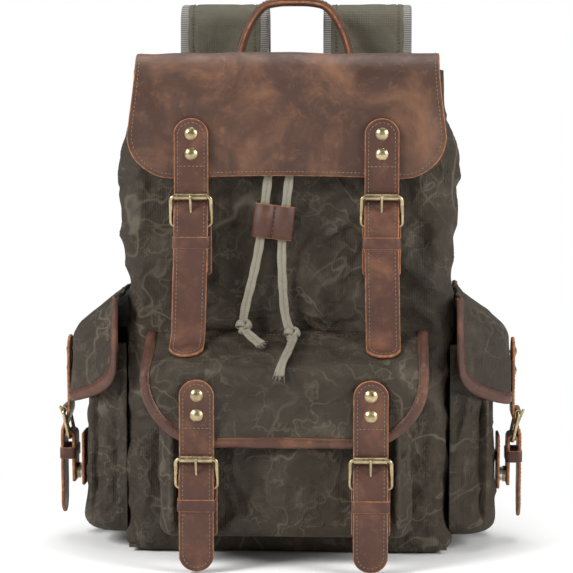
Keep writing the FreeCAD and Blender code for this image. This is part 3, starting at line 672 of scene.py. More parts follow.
def plan_normals(plan, closed):
    """Outward unit normals of a plan line that runs clockwise seen from above."""
    ahead = np.roll(plan, -1, axis=0) - np.roll(plan, 1, axis=0)
    if not closed:
        ahead = np.gradient(plan, axis=0)
    normal = np.stack([-ahead[:, 1], ahead[:, 0]], axis=1)
    return normal / np.linalg.norm(normal, axis=1, keepdims=True)


def tube_faces(rows, count, start=0):
    """Quads between closed rings of count points."""
    return [(start + r * count + i, start + r * count + (i + 1) % count,
             start + (r + 1) * count + (i + 1) % count, start + (r + 1) * count + i)
            for r in range(rows - 1) for i in range(count)]


def near(points, centre, reach):
    """1 at a centre, falling to 0 at reach."""
    away = np.linalg.norm(points - np.array(centre), axis=-1)
    return 1 - smooth_step(away, reach * 0.45, reach)


class BACKPACK_OT_body(bpy.types.Operator):
    """Bag body: one waxed-canvas shell with folds, a rounded base and a gathered mouth"""
    bl_idname = "backpack.body"
    bl_label = "Body"

    def execute(self, context):
        high, turn, wall, around = 0.440, 0.014, 0.0026, 300
        plan = rounded_plan(0.1525, 0.0748, 0.026, around)
        way = -plan_normals(plan, True)
        if np.mean(np.einsum("ij,ij->i", way, plan)) < 0:
            way = -way
        angles = np.linspace(0, math.pi / 2, 7)
        levels = [(turn * (1 - math.sin(a)), turn * (1 - math.cos(a))) for a in angles]
        levels += [(0.0, z) for z in np.linspace(turn, high, 140)[1:]]
        rings = []
        for inset, z in levels:
            ring = np.column_stack([plan - way * inset, np.full(around, z)])
            rings.append(ring)
        outer = np.array(rings)
        flat = outer.reshape(-1, 3)
        lean = flat * np.array([1, 1, 0.62])
        fold = 0.80 * ridge(lean, 10.0, 3.1, 1.2) + 0.55 * ridge(lean * np.array([1, 1, 1.9]), 21.0, 7.7, 1.3)
        fold += 0.18 * rolling(flat, 42.0, 5.0)
        fold = np.clip(fold, 0, 1.15).reshape(outer.shape[:2])
        mouth = smooth_step(outer[..., 2], 0.385, 0.435)
        run = np.arange(around) * (2 * math.pi / around)
        gather = 0.5 + 0.5 * np.cos(34 * run + 1.4 * np.sin(5 * run))[None, :]
        inward = sizes().body_fold * (1.05 - fold) * smooth_step(outer[..., 2], 0.004, 0.04) + 0.0004
        inward = inward * (1 - mouth) + (0.0006 + 0.0042 * gather) * mouth
        for x in (-0.009, 0.009):
            inward = inward * (1 - near(outer, (x, -0.075, 0.402), 0.022))
        level = outer[..., 2]
        swell = 0.0045 * smooth_step(level, 0.240, 0.31) * (1 - smooth_step(level, 0.33,
                                                                            0.42)) * way[None, :, 0] ** 2
        swell -= 0.012 * smooth_step(level, 0.36, 0.44) * way[None, :, 0] ** 2
        outer[..., :2] -= way[None, :, :] * (inward - swell)[..., None]
        inner = outer[::-1].copy()
        inner[..., :2] -= way[None, :, :] * wall
        inner[..., 2] = np.maximum(inner[..., 2] - 0.0002, 0.0032)
        rows = len(outer)
        points = np.concatenate([outer.reshape(-1, 3), inner.reshape(-1, 3)])
        faces = tube_faces(2 * rows, around)
        kinds = [0] * (rows * around) + [1] * ((rows - 1) * around)
        faces += [tuple(range(around)), tuple(range((2 * rows - 1) * around, 2 * rows * around))]
        kinds += [0, 1]
        shell = outward(add_mesh("bag_body", points, faces, ("canvas", "lining"), kinds))
        settle(shell, "root", "canvas", "front_panel", "back_panel", "side_panel_left", "side_panel_right",
               "base_panel")
        return {"FINISHED"}


def pocket_mesh(name, half, depth, radius, low, high, side, folds, ridges, seed, belly):
    """A pocket: a U-shaped canvas wall with a turned-in base, in front-facing coordinates, back at depth[0]."""
    back, face = depth
    line = [(-half, back), (-half, face + radius)]
    for corner in (-1, 1):
        centre = (corner * (half - radius), face + radius)
        for turn in np.linspace(0, math.pi / 2, 10):
            bend = math.pi + turn if corner < 0 else 1.5 * math.pi + turn
            line.append((centre[0] + radius * math.cos(bend), centre[1] + radius * math.sin(bend)))
    line.append((half, back))
    plan = even_line(np.array(line), 220)
    way = np.stack([np.gradient(plan[:, 1]), -np.gradient(plan[:, 0])], axis=1)
    way = way / np.linalg.norm(way, axis=1, keepdims=True)
    run = np.linspace(0, 1, len(plan))
    round_off = 0.012
    rows = [(np.array([plan[:, 0] * share, back + (plan[:, 1] - back) * share]).T, low)
            for share in (0.35, 0.6, 0.8)]
    for turn in np.linspace(0, math.pi / 2, 7):
        rows.append((plan - way * round_off * (1 - math.sin(turn)), low + round_off * (1 - math.cos(turn))))
    rows += [(plan, z) for z in np.linspace(low + round_off, high, 90)[1:]]
    grid = np.array([np.column_stack([row, np.full(len(row), z)]) for row, z in rows])
    flat = turn_points(grid, side).reshape(-1, 3)
    fold = 0.8 * ridge(flat * np.array([1, 1, 0.7]), 13.0, seed, 1.4) + 0.5 * ridge(flat, 27.0, seed + 4, 1.6)
    fold = np.clip(fold, 0, 1.1).reshape(grid.shape[:2])
    up = smooth_step(grid[..., 2], low + 0.002, low + 0.03)
    inward = folds * (1.0 - fold) * up
    for at, lift in ridges:
        close = np.exp(-((run - at) / 0.0085) ** 2)[None, :]
        inward = inward * (1 - close) - lift * close * up
    middle = np.exp(-((run - 0.5) / 0.09) ** 2)[None, :]
    inward = inward - belly * middle * up * (1 - smooth_step(grid[..., 2], high - 0.05, high))
    squeeze = smooth_step(np.minimum(run, 1 - run), 0.0, 0.06)[None, :]
    grid[..., :2] -= way[None, :, :] * (inward * squeeze)[..., None]
    return slab(name, turn_points(grid, side), 0.002, ("lining", "canvas", "canvas"))


class BACKPACK_OT_pockets(bpy.types.Operator):
    """Front pocket and side pockets: canvas walls with pinched corner seams and folds"""
    bl_idname = "backpack.pockets"
    bl_label = "Pockets"

    def execute(self, context):
        front = pocket_mesh("front_pocket", 0.1118, (-0.0765, -0.1268), 0.012, 0.0265, 0.1755, 0, 0.0068,
                            ((0.1835, 0.0065), (0.8165, 0.0065)), 1.7, 0.007)
        settle(front, "root", "canvas", "front_pocket_panel", "front_pocket_gusset")
        for side, name in ((-1, "side_pocket_left"), (1, "side_pocket_right")):
            pocket = pocket_mesh(name + "_shell", 0.0600, (-0.1480, -0.1918), 0.036, 0.0155, 0.1915,
                                 side, 0.0060,
                                 ((0.20, 0.003), (0.80, 0.003)), 5.0 + side, 0.0)
            settle(pocket, "root", "canvas", name)
        return {"FINISHED"}


# ---------------------------------------------------------------- flaps

def flap_surface(profile, wall, sway):
    """Middle surface of a flap from its outer YZ profile; sway(u, s) lifts it outward."""
    def surface(u, s):
        u, s = np.broadcast_arrays(np.asarray(u, float), np.asarray(s, float))
        y, z = profile.at(s)
        ahead_y, ahead_z = profile.at(s + 0.0006)
        behind_y, behind_z = profile.at(s - 0.0006)
        run_y, run_z = ahead_y - behind_y, ahead_z - behind_z
        size = np.hypot(run_y, run_z)
        lift = sway(u, s) - wall / 2
        return np.stack([u, y + run_z / size * lift, z - run_y / size * lift], axis=-1)
    return surface


def outline_us(width, length, corner, inset, arch=0.0, start=0.0, count=260):
    """(u, s) line down one side, round the bottom and up the other, inset from the edge."""
    half, radius = width / 2 - inset, max(corner - inset, 0.002)
    foot = length - inset
    line = [(-half, start), (-half, foot - radius)]
    for turn in np.linspace(0, math.pi / 2, 14)[1:]:
        line.append((-half + radius * (1 - math.cos(turn)), foot - radius * (1 - math.sin(turn))))
    line += [(-u, s) for u, s in reversed(line)]
    line = even_line(np.array(line), count)
    line[:, 1] -= arch * np.clip(1 - (line[:, 0] / (half * 0.8)) ** 2, 0, 1) * smooth_step(line[:, 1],
                                                                                           foot - 0.05, foot)
    return line


def binding(name, surface, width, length, corner, band, wall, body, side, slot_name, replaced):
    """Leather folded round a flap's edge: a closed tube that follows the outline."""
    outer = outline_us(width, length, corner, 0.0)
    inner = outline_us(width, length, corner, band)
    step = inner - outer
    out = -step / np.linalg.norm(step, axis=1, keepdims=True)
    half = wall / 2
    section = [(-band, half + 0.0011), (-band * 0.5, half + 0.0014), (-0.0012, half + 0.0011), (0.0008,
                                                                                                half * 0.7),
               (0.0012, 0.0), (0.0008, -half * 0.7), (-0.0012, -half - 0.0009), (-band * 0.5, -half - 0.0011),
               (-band, -half - 0.0009)]
    rings = []
    tiny = 0.0008
    for reach, lift in section:
        at = outer + out * reach
        here = surface(at[:, 0], at[:, 1])
        normal = np.cross(surface(at[:, 0], at[:, 1] + tiny) - here, surface(at[:, 0] + tiny, at[:,
                                                                                                 1]) - here)
        normal = normal / np.linalg.norm(normal, axis=1, keepdims=True)
        rings.append(here + normal * lift)
    rings = turn_points(np.array(rings).transpose(1, 0, 2), side)
    count = len(section)
    points = rings.reshape(-1, 3)
    faces = tube_faces(len(rings), count)
    kinds = []
    for _ in range(len(rings) - 1):
        kinds += [1 if i == count - 1 else 0 for i in range(count)]
    faces += [tuple(range(count)), tuple(range(len(points) - count, len(points)))]
    kinds += [1, 1]
    piece = outward(add_mesh(name, points, faces, ("strap_leather", "edge"), kinds))
    return settle(piece, body, slot_name, replaced)


def main_sway(u, s):
    """Lift of the main flap: flared sides, small waves between the straps."""
    flare = 0.006 * smooth_step(np.abs(u), 0.118, 0.143) * smooth_step(s, 0.165, 0.22)
    calm = smooth_step(np.abs(np.abs(u) - 0.085), 0.016, 0.04)
    wave = np.array([noise.noise(Vector((a * 16, b * 11, 2.0))) for a, b in zip(u.ravel(), s.ravel())])
    return flare + 0.0020 * calm * wave.reshape(u.shape)


def canvas_sway(seed, depth=0.0040, strap=(0.0765,)):
    """Lift of a canvas flap: soft dents, flat under its straps."""
    def sway(u, s):
        calm = np.ones_like(u)
        for centre in strap:
            calm = calm * smooth_step(np.abs(np.abs(u) - centre), 0.015, 0.032)
        wave = np.array([noise.fractal(Vector((a * 19, b * 19, seed)), 0.9, 2.0, 3)
                         for a, b in zip(u.ravel(), s.ravel())]).reshape(u.shape)
        return -depth * (0.35 + 0.65 * calm) * np.clip(0.45 - wave, 0, 1.3)
    return sway


def winged(surface):
    """The same surface with its front and back wings wrapped round a side pocket to the bag's side."""
    def wrapped(u, s):
        points = surface(u, s)
        wing = smooth_step(np.abs(np.broadcast_to(u, points.shape[:-1])), 0.026, 0.080) ** 1.2
        points[..., 1] += (-0.1555 - points[..., 1]) * wing
        return points
    return wrapped


def tapered(surface):
    """The same surface, narrower along the top of the bag than at its lower edge."""
    def narrowed(u, s):
        points = surface(u, s)
        points[..., 0] *= 1 - 0.055 * (1 - smooth_step(np.broadcast_to(s, points.shape[:-1]), 0.160, 0.250))
        return points
    return narrowed


MAIN_PROFILE = Profile([(0.076, 0.452), (-0.087, 0.456), (-0.087, 0.344)], [0.024])
FRONT_PROFILE = Profile([(-0.0775, 0.2065), (-0.140, 0.180), (-0.140, 0.1105)], [0.014])
SIDE_PROFILE = Profile([(-0.156, 0.238), (-0.205, 0.199), (-0.205, 0.134)], [0.020])


def flap_sheet(name, profile, width, corner, sway, kinds, side, columns, rows, arch=0.0, shape=None):
    """A flap's sheet, and its surface function."""
    surface = flap_surface(profile, 0.003, sway)
    surface = shape(surface) if shape else surface
    limits = corner_limits(width, profile.length, 0.0004, corner)

    def arched(u):
        low, high = limits(u)
        return low, high - arch * np.clip(1 - (u / (width * 0.4)) ** 2, 0, 1)
    grid = sheet_grid(surface, width - 0.0004, arched, columns, rows, 1.35)
    return slab(name, turn_points(grid, side), 0.003, kinds), surface


class BACKPACK_OT_flaps(bpy.types.Operator):
    """Main leather flap and the three canvas pocket flaps with their leather bindings"""
    bl_idname = "backpack.flaps"
    bl_label = "Flaps"

    def execute(self, context):
        flap, surface = flap_sheet("main_flap_leather", MAIN_PROFILE, 0.286, 0.042, main_sway,
                                   ("leather", "edge", "suede"), 0, 190, 170, 0.003, tapered)
        settle(flap, "main_flap", "flap_leather", "main_flap")
        inset = sizes().seam_inset
        seam = outline_us(0.286, MAIN_PROFILE.length, 0.042, inset, 0.003, 0.004, 400)
        stitches("main_flap_stitches", [surface_line(surface, seam[:, 0], seam[:, 1], 0.0016, 0)],
                 "main_flap")
        for body, profile, width, corner, side, sway in (
                ("front_flap", FRONT_PROFILE, 0.252, 0.060, 0, canvas_sway(3.0)),
                ("side_flap_left", SIDE_PROFILE, 0.160, 0.055, -1, canvas_sway(7.0, strap=(0.0,))),
                ("side_flap_right", SIDE_PROFILE, 0.160, 0.055, 1, canvas_sway(11.0, strap=(0.0,)))):
            flap, surface = flap_sheet(body + "_canvas", profile, width, corner, sway,
                                       ("canvas", "canvas", "lining"), side, 150, 90, 0.0,
                                       winged if side else None)
            settle(flap, body, "canvas", body)
            band = sizes().binding_width
            binding(body + "_bound_edge", surface, width, profile.length, corner, band, 0.003, body, side,
                    "strap_leather", body + "_binding")
            seam = outline_us(width, profile.length, corner, band - 0.0016, 0.0, 0.003, 400)
            hem = np.linspace(-width / 2 + band, width / 2 - band, 80)
            stitches(body + "_stitches", [surface_line(surface, seam[:, 0], seam[:, 1], 0.0029, side)], body,
                     "dark_thread")
            stitches(body + "_hem_stitches", [surface_line(surface, hem, np.full(80, 0.005), 0.0016,
                                                           side)], body,
                     "dark_thread")
        return {"FINISHED"}


# ---------------------------------------------------------------- straps, chapes and tabs

STRAP_WIDTH, STRAP_WALL = 0.030, 0.003


def leather_strip(name, profile, centre, side, width, wall, ends, kinds=("strap_leather", "edge", "suede"),
                  lean=0.0, columns=22, pace=0.0022):
    """A flat strap along a profile; ends are the corner radii at its two ends. Gives the piece and its surface
    function.
    """
    base = flap_surface(profile, 0.0, lambda u, s: 0.00025 * np.sin(s * 210 + centre * 90) * np.cos(u * 90))
    limits = corner_limits(width, profile.length, *ends)

    def surface(u, s):
        points = base(u, s)
        points[..., 0] += centre + lean * s
        return points
    rows = max(int(profile.length / pace), 8)
    grid = sheet_grid(surface, width - 0.0008, limits, columns, rows, 1.3)
    return slab(name, turn_points(grid, side), wall, kinds), surface


def strap_seam(profile, width, ends, inset):
    """(u, s) lines down both edges of a strap, joined round its round ends."""
    half = width / 2 - inset
    line = []
    top, low = ends
    if top:
        for turn in np.linspace(math.pi / 2, 0, 12):
            line.append((half * math.cos(turn), inset + half * (1 - math.sin(turn))))
    else:
        line.append((half, inset))
    if low:
        foot = profile.length - inset - half
        for turn in np.linspace(0, math.pi / 2, 12):
            line.append((half * math.cos(turn), foot + half * math.sin(turn)))
    else:
        line.append((half, profile.length - inset * 0.3))
    line = np.array(line)
    other = line.copy()
    other[:, 0] *= -1
    return [even_line(line, 160), even_line(other, 160)]


def closed_band(name, ring, axis_low, axis_high, wall, kinds, body_side):
    """A band: a closed XY ring of middle points with a wall, from one height to another."""
    ring = np.asarray(ring)
    way = plan_normals(ring, True)
    if np.mean(np.einsum("ij,ij->i", way, ring - ring.mean(0))) < 0:
        way = -way
    half = wall / 2
    soft = 0.0006
    section = [(half, axis_low + soft), (half, axis_high - soft), (half - soft, axis_high),
               (-half + soft, axis_high),
               (-half, axis_high - soft), (-half, axis_low + soft), (-half + soft,
                                                                     axis_low), (half - soft, axis_low)]
    rings = np.array([np.column_stack([ring + way * reach, np.full(len(ring), z)]) for reach, z in section])
    count = len(ring)
    points = turn_points(rings, body_side).reshape(-1, 3)
    faces, indices = [], []
    for r in range(len(section)):
        n = (r + 1) % len(section)
        for i in range(count):
            j = (i + 1) % count
            faces.append((r * count + i, r * count + j, n * count + j, n * count + i))
            indices.append({0: 0, 4: 2}.get(r, 1))
    return outward(add_mesh(name, points, faces, kinds, indices))


def closure_pieces(plane, roller, centre, side, tail_end, tipped):
    """Strap, chape, keeper and the strap's seams for one buckle; all in metres."""
    mid = plane - 0.0013 - STRAP_WALL / 2
    over = plane - 0.0079 - STRAP_WALL / 2
    points = [(mid, roller + 0.069), (mid, roller - 0.002), (over, roller - 0.019), (over, tail_end)]
    profile = Profile(points, [0.014, 0.014])
    tip = 0.0148 if tipped else 0.0002
    strap, surface = leather_strip("strap_part", profile, centre, side, STRAP_WIDTH, STRAP_WALL,
                                   (0.0148, tip))
    parts = [strap]
    inset = sizes().seam_inset
    runs = [surface_line(surface, line[:, 0], line[:, 1], 0.0016, side)
            for line in strap_seam(profile, STRAP_WIDTH, (True, tipped), inset)]
    across = np.linspace(-0.011, 0.011, 30)
    runs.append(surface_line(surface, across, np.full(30, 0.042), 0.0016, side))
    leg = Profile([(plane - 0.0059, roller - 0.0255), (plane - 0.0059, roller - 0.0219),
                   (plane + 0.0010, roller - 0.0219),
                   (plane + 0.0010, roller - 0.068)], [0.0012, 0.0030])
    leather, leg_surface = leather_strip("chape_part", leg, centre, side, 0.028, 0.003, (0.0003,
                                                                                         0.0003), columns=14)
    parts.append(leather)
    ring = rounded_plan(0.01635, 0.0070, 0.0028, 64) + np.array([centre, plane - 0.0042])
    parts.append(closed_band("keeper_part", ring, roller - 0.0465, roller - 0.0355, 0.0015,
                             ("strap_leather", "edge", "suede"), side))
    return parts, runs


class BACKPACK_OT_straps(bpy.types.Operator):
    """Buckled leather straps with their chapes, keepers, hanging tails and base tabs"""
    bl_idname = "backpack.straps"
    bl_label = "Straps"

    def execute(self, context):
        groups = (("main_flap", -0.087, 0.328, (-0.085, 0.085), 0, 0.2805),
                  ("front_flap", -0.140, 0.101, (-0.0765, 0.0765), 0, 0.002),
                  ("side_flap_left", -0.205, 0.122, (0.0,), -1, 0.023),
                  ("side_flap_right", -0.205, 0.122, (0.0,), 1, 0.023))
        for body, plane, roller, centres, side, tail_end in groups:
            straps, chapes, runs = [], [], []
            for centre in centres:
                parts, seams = closure_pieces(plane, roller, centre, side, tail_end, body != "main_flap")
                straps.append(parts[0])
                chapes += parts[1:]
                runs += seams
            settle(joined(body + "_strap_leather", straps), body, "strap_leather", body + "_straps")
            settle(joined(body + "_chape_leather", chapes), body, "strap_leather", body + "_chapes")
            stitches(body + "_strap_stitches", runs, body)
        tails, runs = [], []
        for centre, lean in ((-0.085, -0.03), (0.085, 0.02)):
            path = [(-0.0964, 0.2905), (-0.0964, 0.2010), (-0.1232, 0.1890)]
            profile = Profile(path, [0.020])
            tail, surface = leather_strip("tail_part", profile, centre, 0, STRAP_WIDTH, STRAP_WALL,
                                          (0.0003, 0.0148),
                                          lean=lean)
            tails.append(tail)
            runs += [surface_line(surface, line[:, 0], line[:, 1], 0.0016, 0)
                     for line in strap_seam(profile, STRAP_WIDTH, (False, True), sizes().seam_inset)]
        tail = joined("main_strap_tail_leather", tails)
        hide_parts("main_strap_tails")
        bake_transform(tail)
        seam = stitches("main_strap_tail_stitches", runs, None)
        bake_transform(seam)
        tabs, runs = [], []
        for plane, roller, centres, side in ((-0.087, 0.328, (-0.085, 0.085), 0), (-0.140, 0.101,
                                                                                   (-0.0765, 0.0765), 0),
                                             (-0.205, 0.122, (0.0,), -1), (-0.205, 0.122, (0.0,), 1)):
            y = plane + 0.01035
            for centre in centres:
                path = Profile([(y, roller - 0.022), (y, roller - 0.071)], [])
                tab, surface = leather_strip("tab_part", path, centre, side, 0.034, 0.0026, (0.003,
                                                                                             0.003), columns=14)
                tabs.append(tab)
                ring = np.array([(-0.0138, 0.004), (0.0138, 0.004), (0.0138, 0.0455), (-0.0138, 0.0455),
                                 (-0.0138, 0.004)])
                ring = even_line(ring, 120)
                runs.append(surface_line(surface, ring[:, 0], ring[:, 1], 0.0014, side))
        settle(joined("base_tab_leather", tabs), "root", "strap_leather", "base_tabs")
        stitches("base_tab_stitches", runs, "root")
        return {"FINISHED"}


# ---------------------------------------------------------------- drawcords

CORD_LEFT = [(-9, -67, 402), (-9, -79.5, 402), (-12, -79.5, 378), (-16, -80, 352), (-19, -81.5, 325),
             (-24, -81.5, 285),
             (-31, -81, 252), (-37.5, -80.5, 228), (-39.5, -83.5, 214), (-37, -92, 208), (-30, -101, 202.5),
             (-22, -110, 198)]
CORD_RIGHT = [(9, -67, 402), (9, -79.5, 402), (7, -79.5, 378), (3, -80, 352), (0, -81.5, 325), (-5,
                                                                                                -81.5, 285),
              (-4, -81, 252), (-2.5, -80.5, 228), (0, -83.5, 214), (4, -92, 208), (7, -104, 203), (4.5,
                                                                                                   -117, 196.5),
              (1.5, -130, 191), (-2, -141, 185), (-4, -146, 175)]


def nurbs_line(points):
    """Even points along a NURBS spline of the given points, in metres."""
    curve = bpy.data.curves.new("cord_line", "CURVE")
    curve.dimensions = "3D"
    curve.resolution_u = 24
    spline = curve.splines.new("NURBS")
    spline.points.add(len(points) - 1)
    for point, place in zip(spline.points, points):
        point.co = (*(value * MM for value in place), 1.0)
    spline.order_u = 3
    spline.use_endpoint_u = True
    holder = bpy.data.objects.new("cord_line", curve)
    bpy.context.scene.collection.objects.link(holder)
    bpy.context.view_layer.update()
    mesh = bpy.data.meshes.new_from_object(holder.evaluated_get(bpy.context.evaluated_depsgraph_get()))
    line = np.array([vertex.co[:] for vertex in mesh.vertices])
    bpy.data.objects.remove(holder)
    bpy.data.meshes.remove(mesh)
    bpy.data.curves.remove(curve)
    marks = np.concatenate([[0], np.cumsum(np.linalg.norm(np.diff(line, axis=0), axis=1))])
    return even_line(line, 220), marks[-1]


def flat_cord(name, line, width, wall, seed):
    """A folded canvas strip along a line: a flat section that keeps its face outward, with a frayed end."""
    ahead = np.gradient(line, axis=0)
    ahead = ahead / np.linalg.norm(ahead, axis=1, keepdims=True)
    face = np.array([0.0, 0.0, 1.0])
    across = []
    for way in ahead:
        face = face - way * (face @ way)
        face = face / np.linalg.norm(face)
        across.append(np.cross(face, way))
    across = np.array(across)
    normal = np.cross(ahead, across)
    marks = np.linspace(0, 1, len(line))
    half = width / 2 * (1 - 0.10 * np.sin(marks * 40 + seed) ** 2)
    half *= 1 + 0.25 * smooth_step(marks, 0.965, 1.0)
    section = [(-1, 0.0), (-0.94, 0.5), (-0.72, 0.42), (0.0, 0.5), (0.06, 0.30), (0.12, 0.5),
               (0.72, 0.42), (0.94, 0.5),
               (1, 0.0), (0.94, -0.5), (0.0, -0.5), (-0.94, -0.5)]
    rings = []
    for reach, lift in section:
        rings.append(line + across * (half * reach)[:, None] + normal * (wall * lift))
    rings = np.array(rings).transpose(1, 0, 2)
    rough = rolling(rings.reshape(-1, 3), 260.0, seed).reshape(rings.shape[:2])
    rings += 0.00035 * rough[..., None] * normal[:, None]
    count = len(section)
    faces = tube_faces(len(rings), count)
    faces += [tuple(range(count)), tuple(range(len(rings) * count - count, len(rings) * count))]
    return outward(add_mesh(name, rings.reshape(-1, 3), faces, ("cord",)))


def fray(name, line, width, seed):
    """Loose threads at a cord's end."""
    end, way = line[-1], line[-1] - line[-4]
    way = way / np.linalg.norm(way)
    random = np.random.default_rng(seed)
    points, faces = [], []
    side = np.cross(way, (0, -0.5, 0.8))
    side = side / np.linalg.norm(side)
    for k in range(16):
        start = end + side * width * (k / 15 - 0.5) * 0.95 - way * 0.003
        tip = start + way * random.uniform(0.004, 0.010) + side * random.normal(0, 0.0012) + np.array(
            [0, -1, 0.4]) * random.uniform(-0.0002, 0.0012)
        base = len(points)
        for place, radius in ((start, 0.00028), (tip, 0.00012)):
            for turn in range(4):
                bend = turn * math.pi / 2
                points.append(place + radius * (side * math.cos(bend) + np.cross(side, way) * math.sin(bend)))
        faces += tube_faces(2, 4, base) + [tuple(range(base, base + 4)), tuple(range(base + 4, base + 8))]
    return outward(add_mesh(name, points, faces, ("cord",)))


def knot(name, centre, size, seed):
    """An overhand knot: a thick closed strand that wraps twice round the cord."""
    turns = np.linspace(0, 2 * math.pi, 97)[:-1]
    strand = np.stack([np.sin(turns) + 1.6 * np.sin(2 * turns), np.cos(turns) - 1.6 * np.cos(2 * turns),
                       -1.3 * np.sin(3 * turns)], axis=1) * size * 0.27
    strand = strand[:, [0, 2, 1]] + np.array(centre)
    ahead = np.roll(strand, -1, axis=0) - np.roll(strand, 1, axis=0)
    ahead = ahead / np.linalg.norm(ahead, axis=1, keepdims=True)
    away = strand - np.array(centre)
    normal = away - ahead * np.einsum("ij,ij->i", away, ahead)[:, None]
    normal = normal / np.linalg.norm(normal, axis=1, keepdims=True)
    across = np.cross(ahead, normal)
    rings = []
    for bend in np.linspace(0, 2 * math.pi, 11)[:-1]:
        rings.append(strand + across * (size * 0.46 * math.cos(bend)) + normal * (size * 0.26 * math.sin(bend)))
    rings = np.array(rings).transpose(1, 0, 2)
    count = rings.shape[1]
    faces = tube_faces(len(rings), count)
    last = (len(rings) - 1) * count
    faces += [(last + i, last + (i + 1) % count, (i + 1) % count, i) for i in range(count)]
    return outward(add_mesh(name, rings.reshape(-1, 3), faces, ("cord",)))


class BACKPACK_OT_drawcords(bpy.types.Operator):
    """Two flat drawcords with knots and frayed ends, and their leather slider"""
    bl_idname = "backpack.drawcords"
    bl_label = "Drawcords"

    def execute(self, context):
        width = sizes().cord_width
        for name, points, at, seed in (("left", CORD_LEFT, (-38.3, -87.7, 211), 3),
                                       ("right", CORD_RIGHT, (5.5, -98, 205.5), 8)):
            line, length = nurbs_line(points)
            strip = flat_cord("drawcord_" + name + "_strip", line, width, 0.0026, seed)
            threads = fray("drawcord_" + name + "_fray", line, width, seed)
            tie = knot("drawcord_" + name + "_knot", [value * MM for value in at], 0.0082, seed)
            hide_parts("drawcord_" + name)
            for piece in (strip, threads, tie):
                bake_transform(piece)
        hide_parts("drawcord_knots")
        self.slider()
        return {"FINISHED"}

    def slider(self):
        """Folded leather tab with a loop on each side of its middle seam."""
        lean = math.radians(7.1)
        centre = np.array((-0.012, -0.0815, 0.305))
        half, wall, high = 0.0176, 0.0014, 0.0305
        outline = []
        for turn in np.linspace(0, 2 * math.pi, 97)[:-1]:
            x = half * math.copysign(abs(math.cos(turn)) ** 0.55, math.cos(turn))
            lobe = 0.0012 + 0.0040 * math.sin(math.pi * min(abs(x) / half, 1)) ** 0.6
            outline.append((x, math.copysign(lobe, math.sin(turn)) * abs(math.sin(turn)) ** 0.25))
        band = closed_band("drawcord_slider_leather", even_line(np.array(outline + [outline[0]]),
                                                                97)[:-1], -high / 2,
                           high / 2, wall, ("strap_leather", "edge", "suede"), 0)
        turned = np.array([[math.cos(lean), 0, math.sin(lean)], [0, 1, 0], [-math.sin(lean), 0,
                                                                            math.cos(lean)]])
        for vertex in band.data.vertices:
            vertex.co = Vector(turned @ np.array(vertex.co[:]) + centre)
        settle(band, "drawcord_slider", "strap_leather", "drawcord_slider")
        seam = np.array([(0.0, -0.0022, z) for z in np.linspace(-0.012, 0.012, 30)]) @ turned.T + centre
        stitches("drawcord_slider_stitches", [(seam, np.tile((0, -1.0, 0), (30, 1)))], "drawcord_slider")


# ---------------------------------------------------------------- handle and shoulder straps

def rounded_bar(name, line, across, half_width, half_wall, power, kinds, ease=None):
    """A closed bar along a line; across is its width direction, its section a rounded rectangle."""
    ahead = np.gradient(line, axis=0)
    ahead = ahead / np.linalg.norm(ahead, axis=1, keepdims=True)
    across = np.broadcast_to(np.asarray(across, float), line.shape)
    normal = np.cross(ahead, across)
    count = 36
    rings, kind_of = [], []
    for k in range(count):
        bend = 2 * math.pi * k / count
        reach = math.copysign(abs(math.cos(bend)) ** power[0], math.cos(bend))
        lift = math.copysign(abs(math.sin(bend)) ** power[1], math.sin(bend))
        size = np.ones(len(line)) if ease is None else ease
        sideways = across * (half_width * reach * size)[:, None]
        rings.append(line + sideways + normal * (half_wall * lift * size)[:, None])
        kind_of.append(1 if abs(math.cos(bend + math.pi / count)) > 0.985 else 0)
    rings = np.array(rings).transpose(1, 0, 2)
    faces = tube_faces(len(rings), count)
    kinds_list = kind_of * (len(rings) - 1)
    faces += [tuple(range(count)), tuple(range((len(rings) - 1) * count, len(rings) * count))]
    kinds_list += [1, 1]
    return outward(add_mesh(name, rings.reshape(-1, 3), faces, kinds, kinds_list))


SHOULDER_PROFILE = [(0.079, 0.385), (0.122, 0.450), (0.124, 0.494), (0.150, 0.494), (0.156, 0.420),
                    (0.158, 0.300),
                    (0.146, 0.205)]
SHOULDER_RADII = [0.025, 0.012, 0.012, 0.060, 0.090]


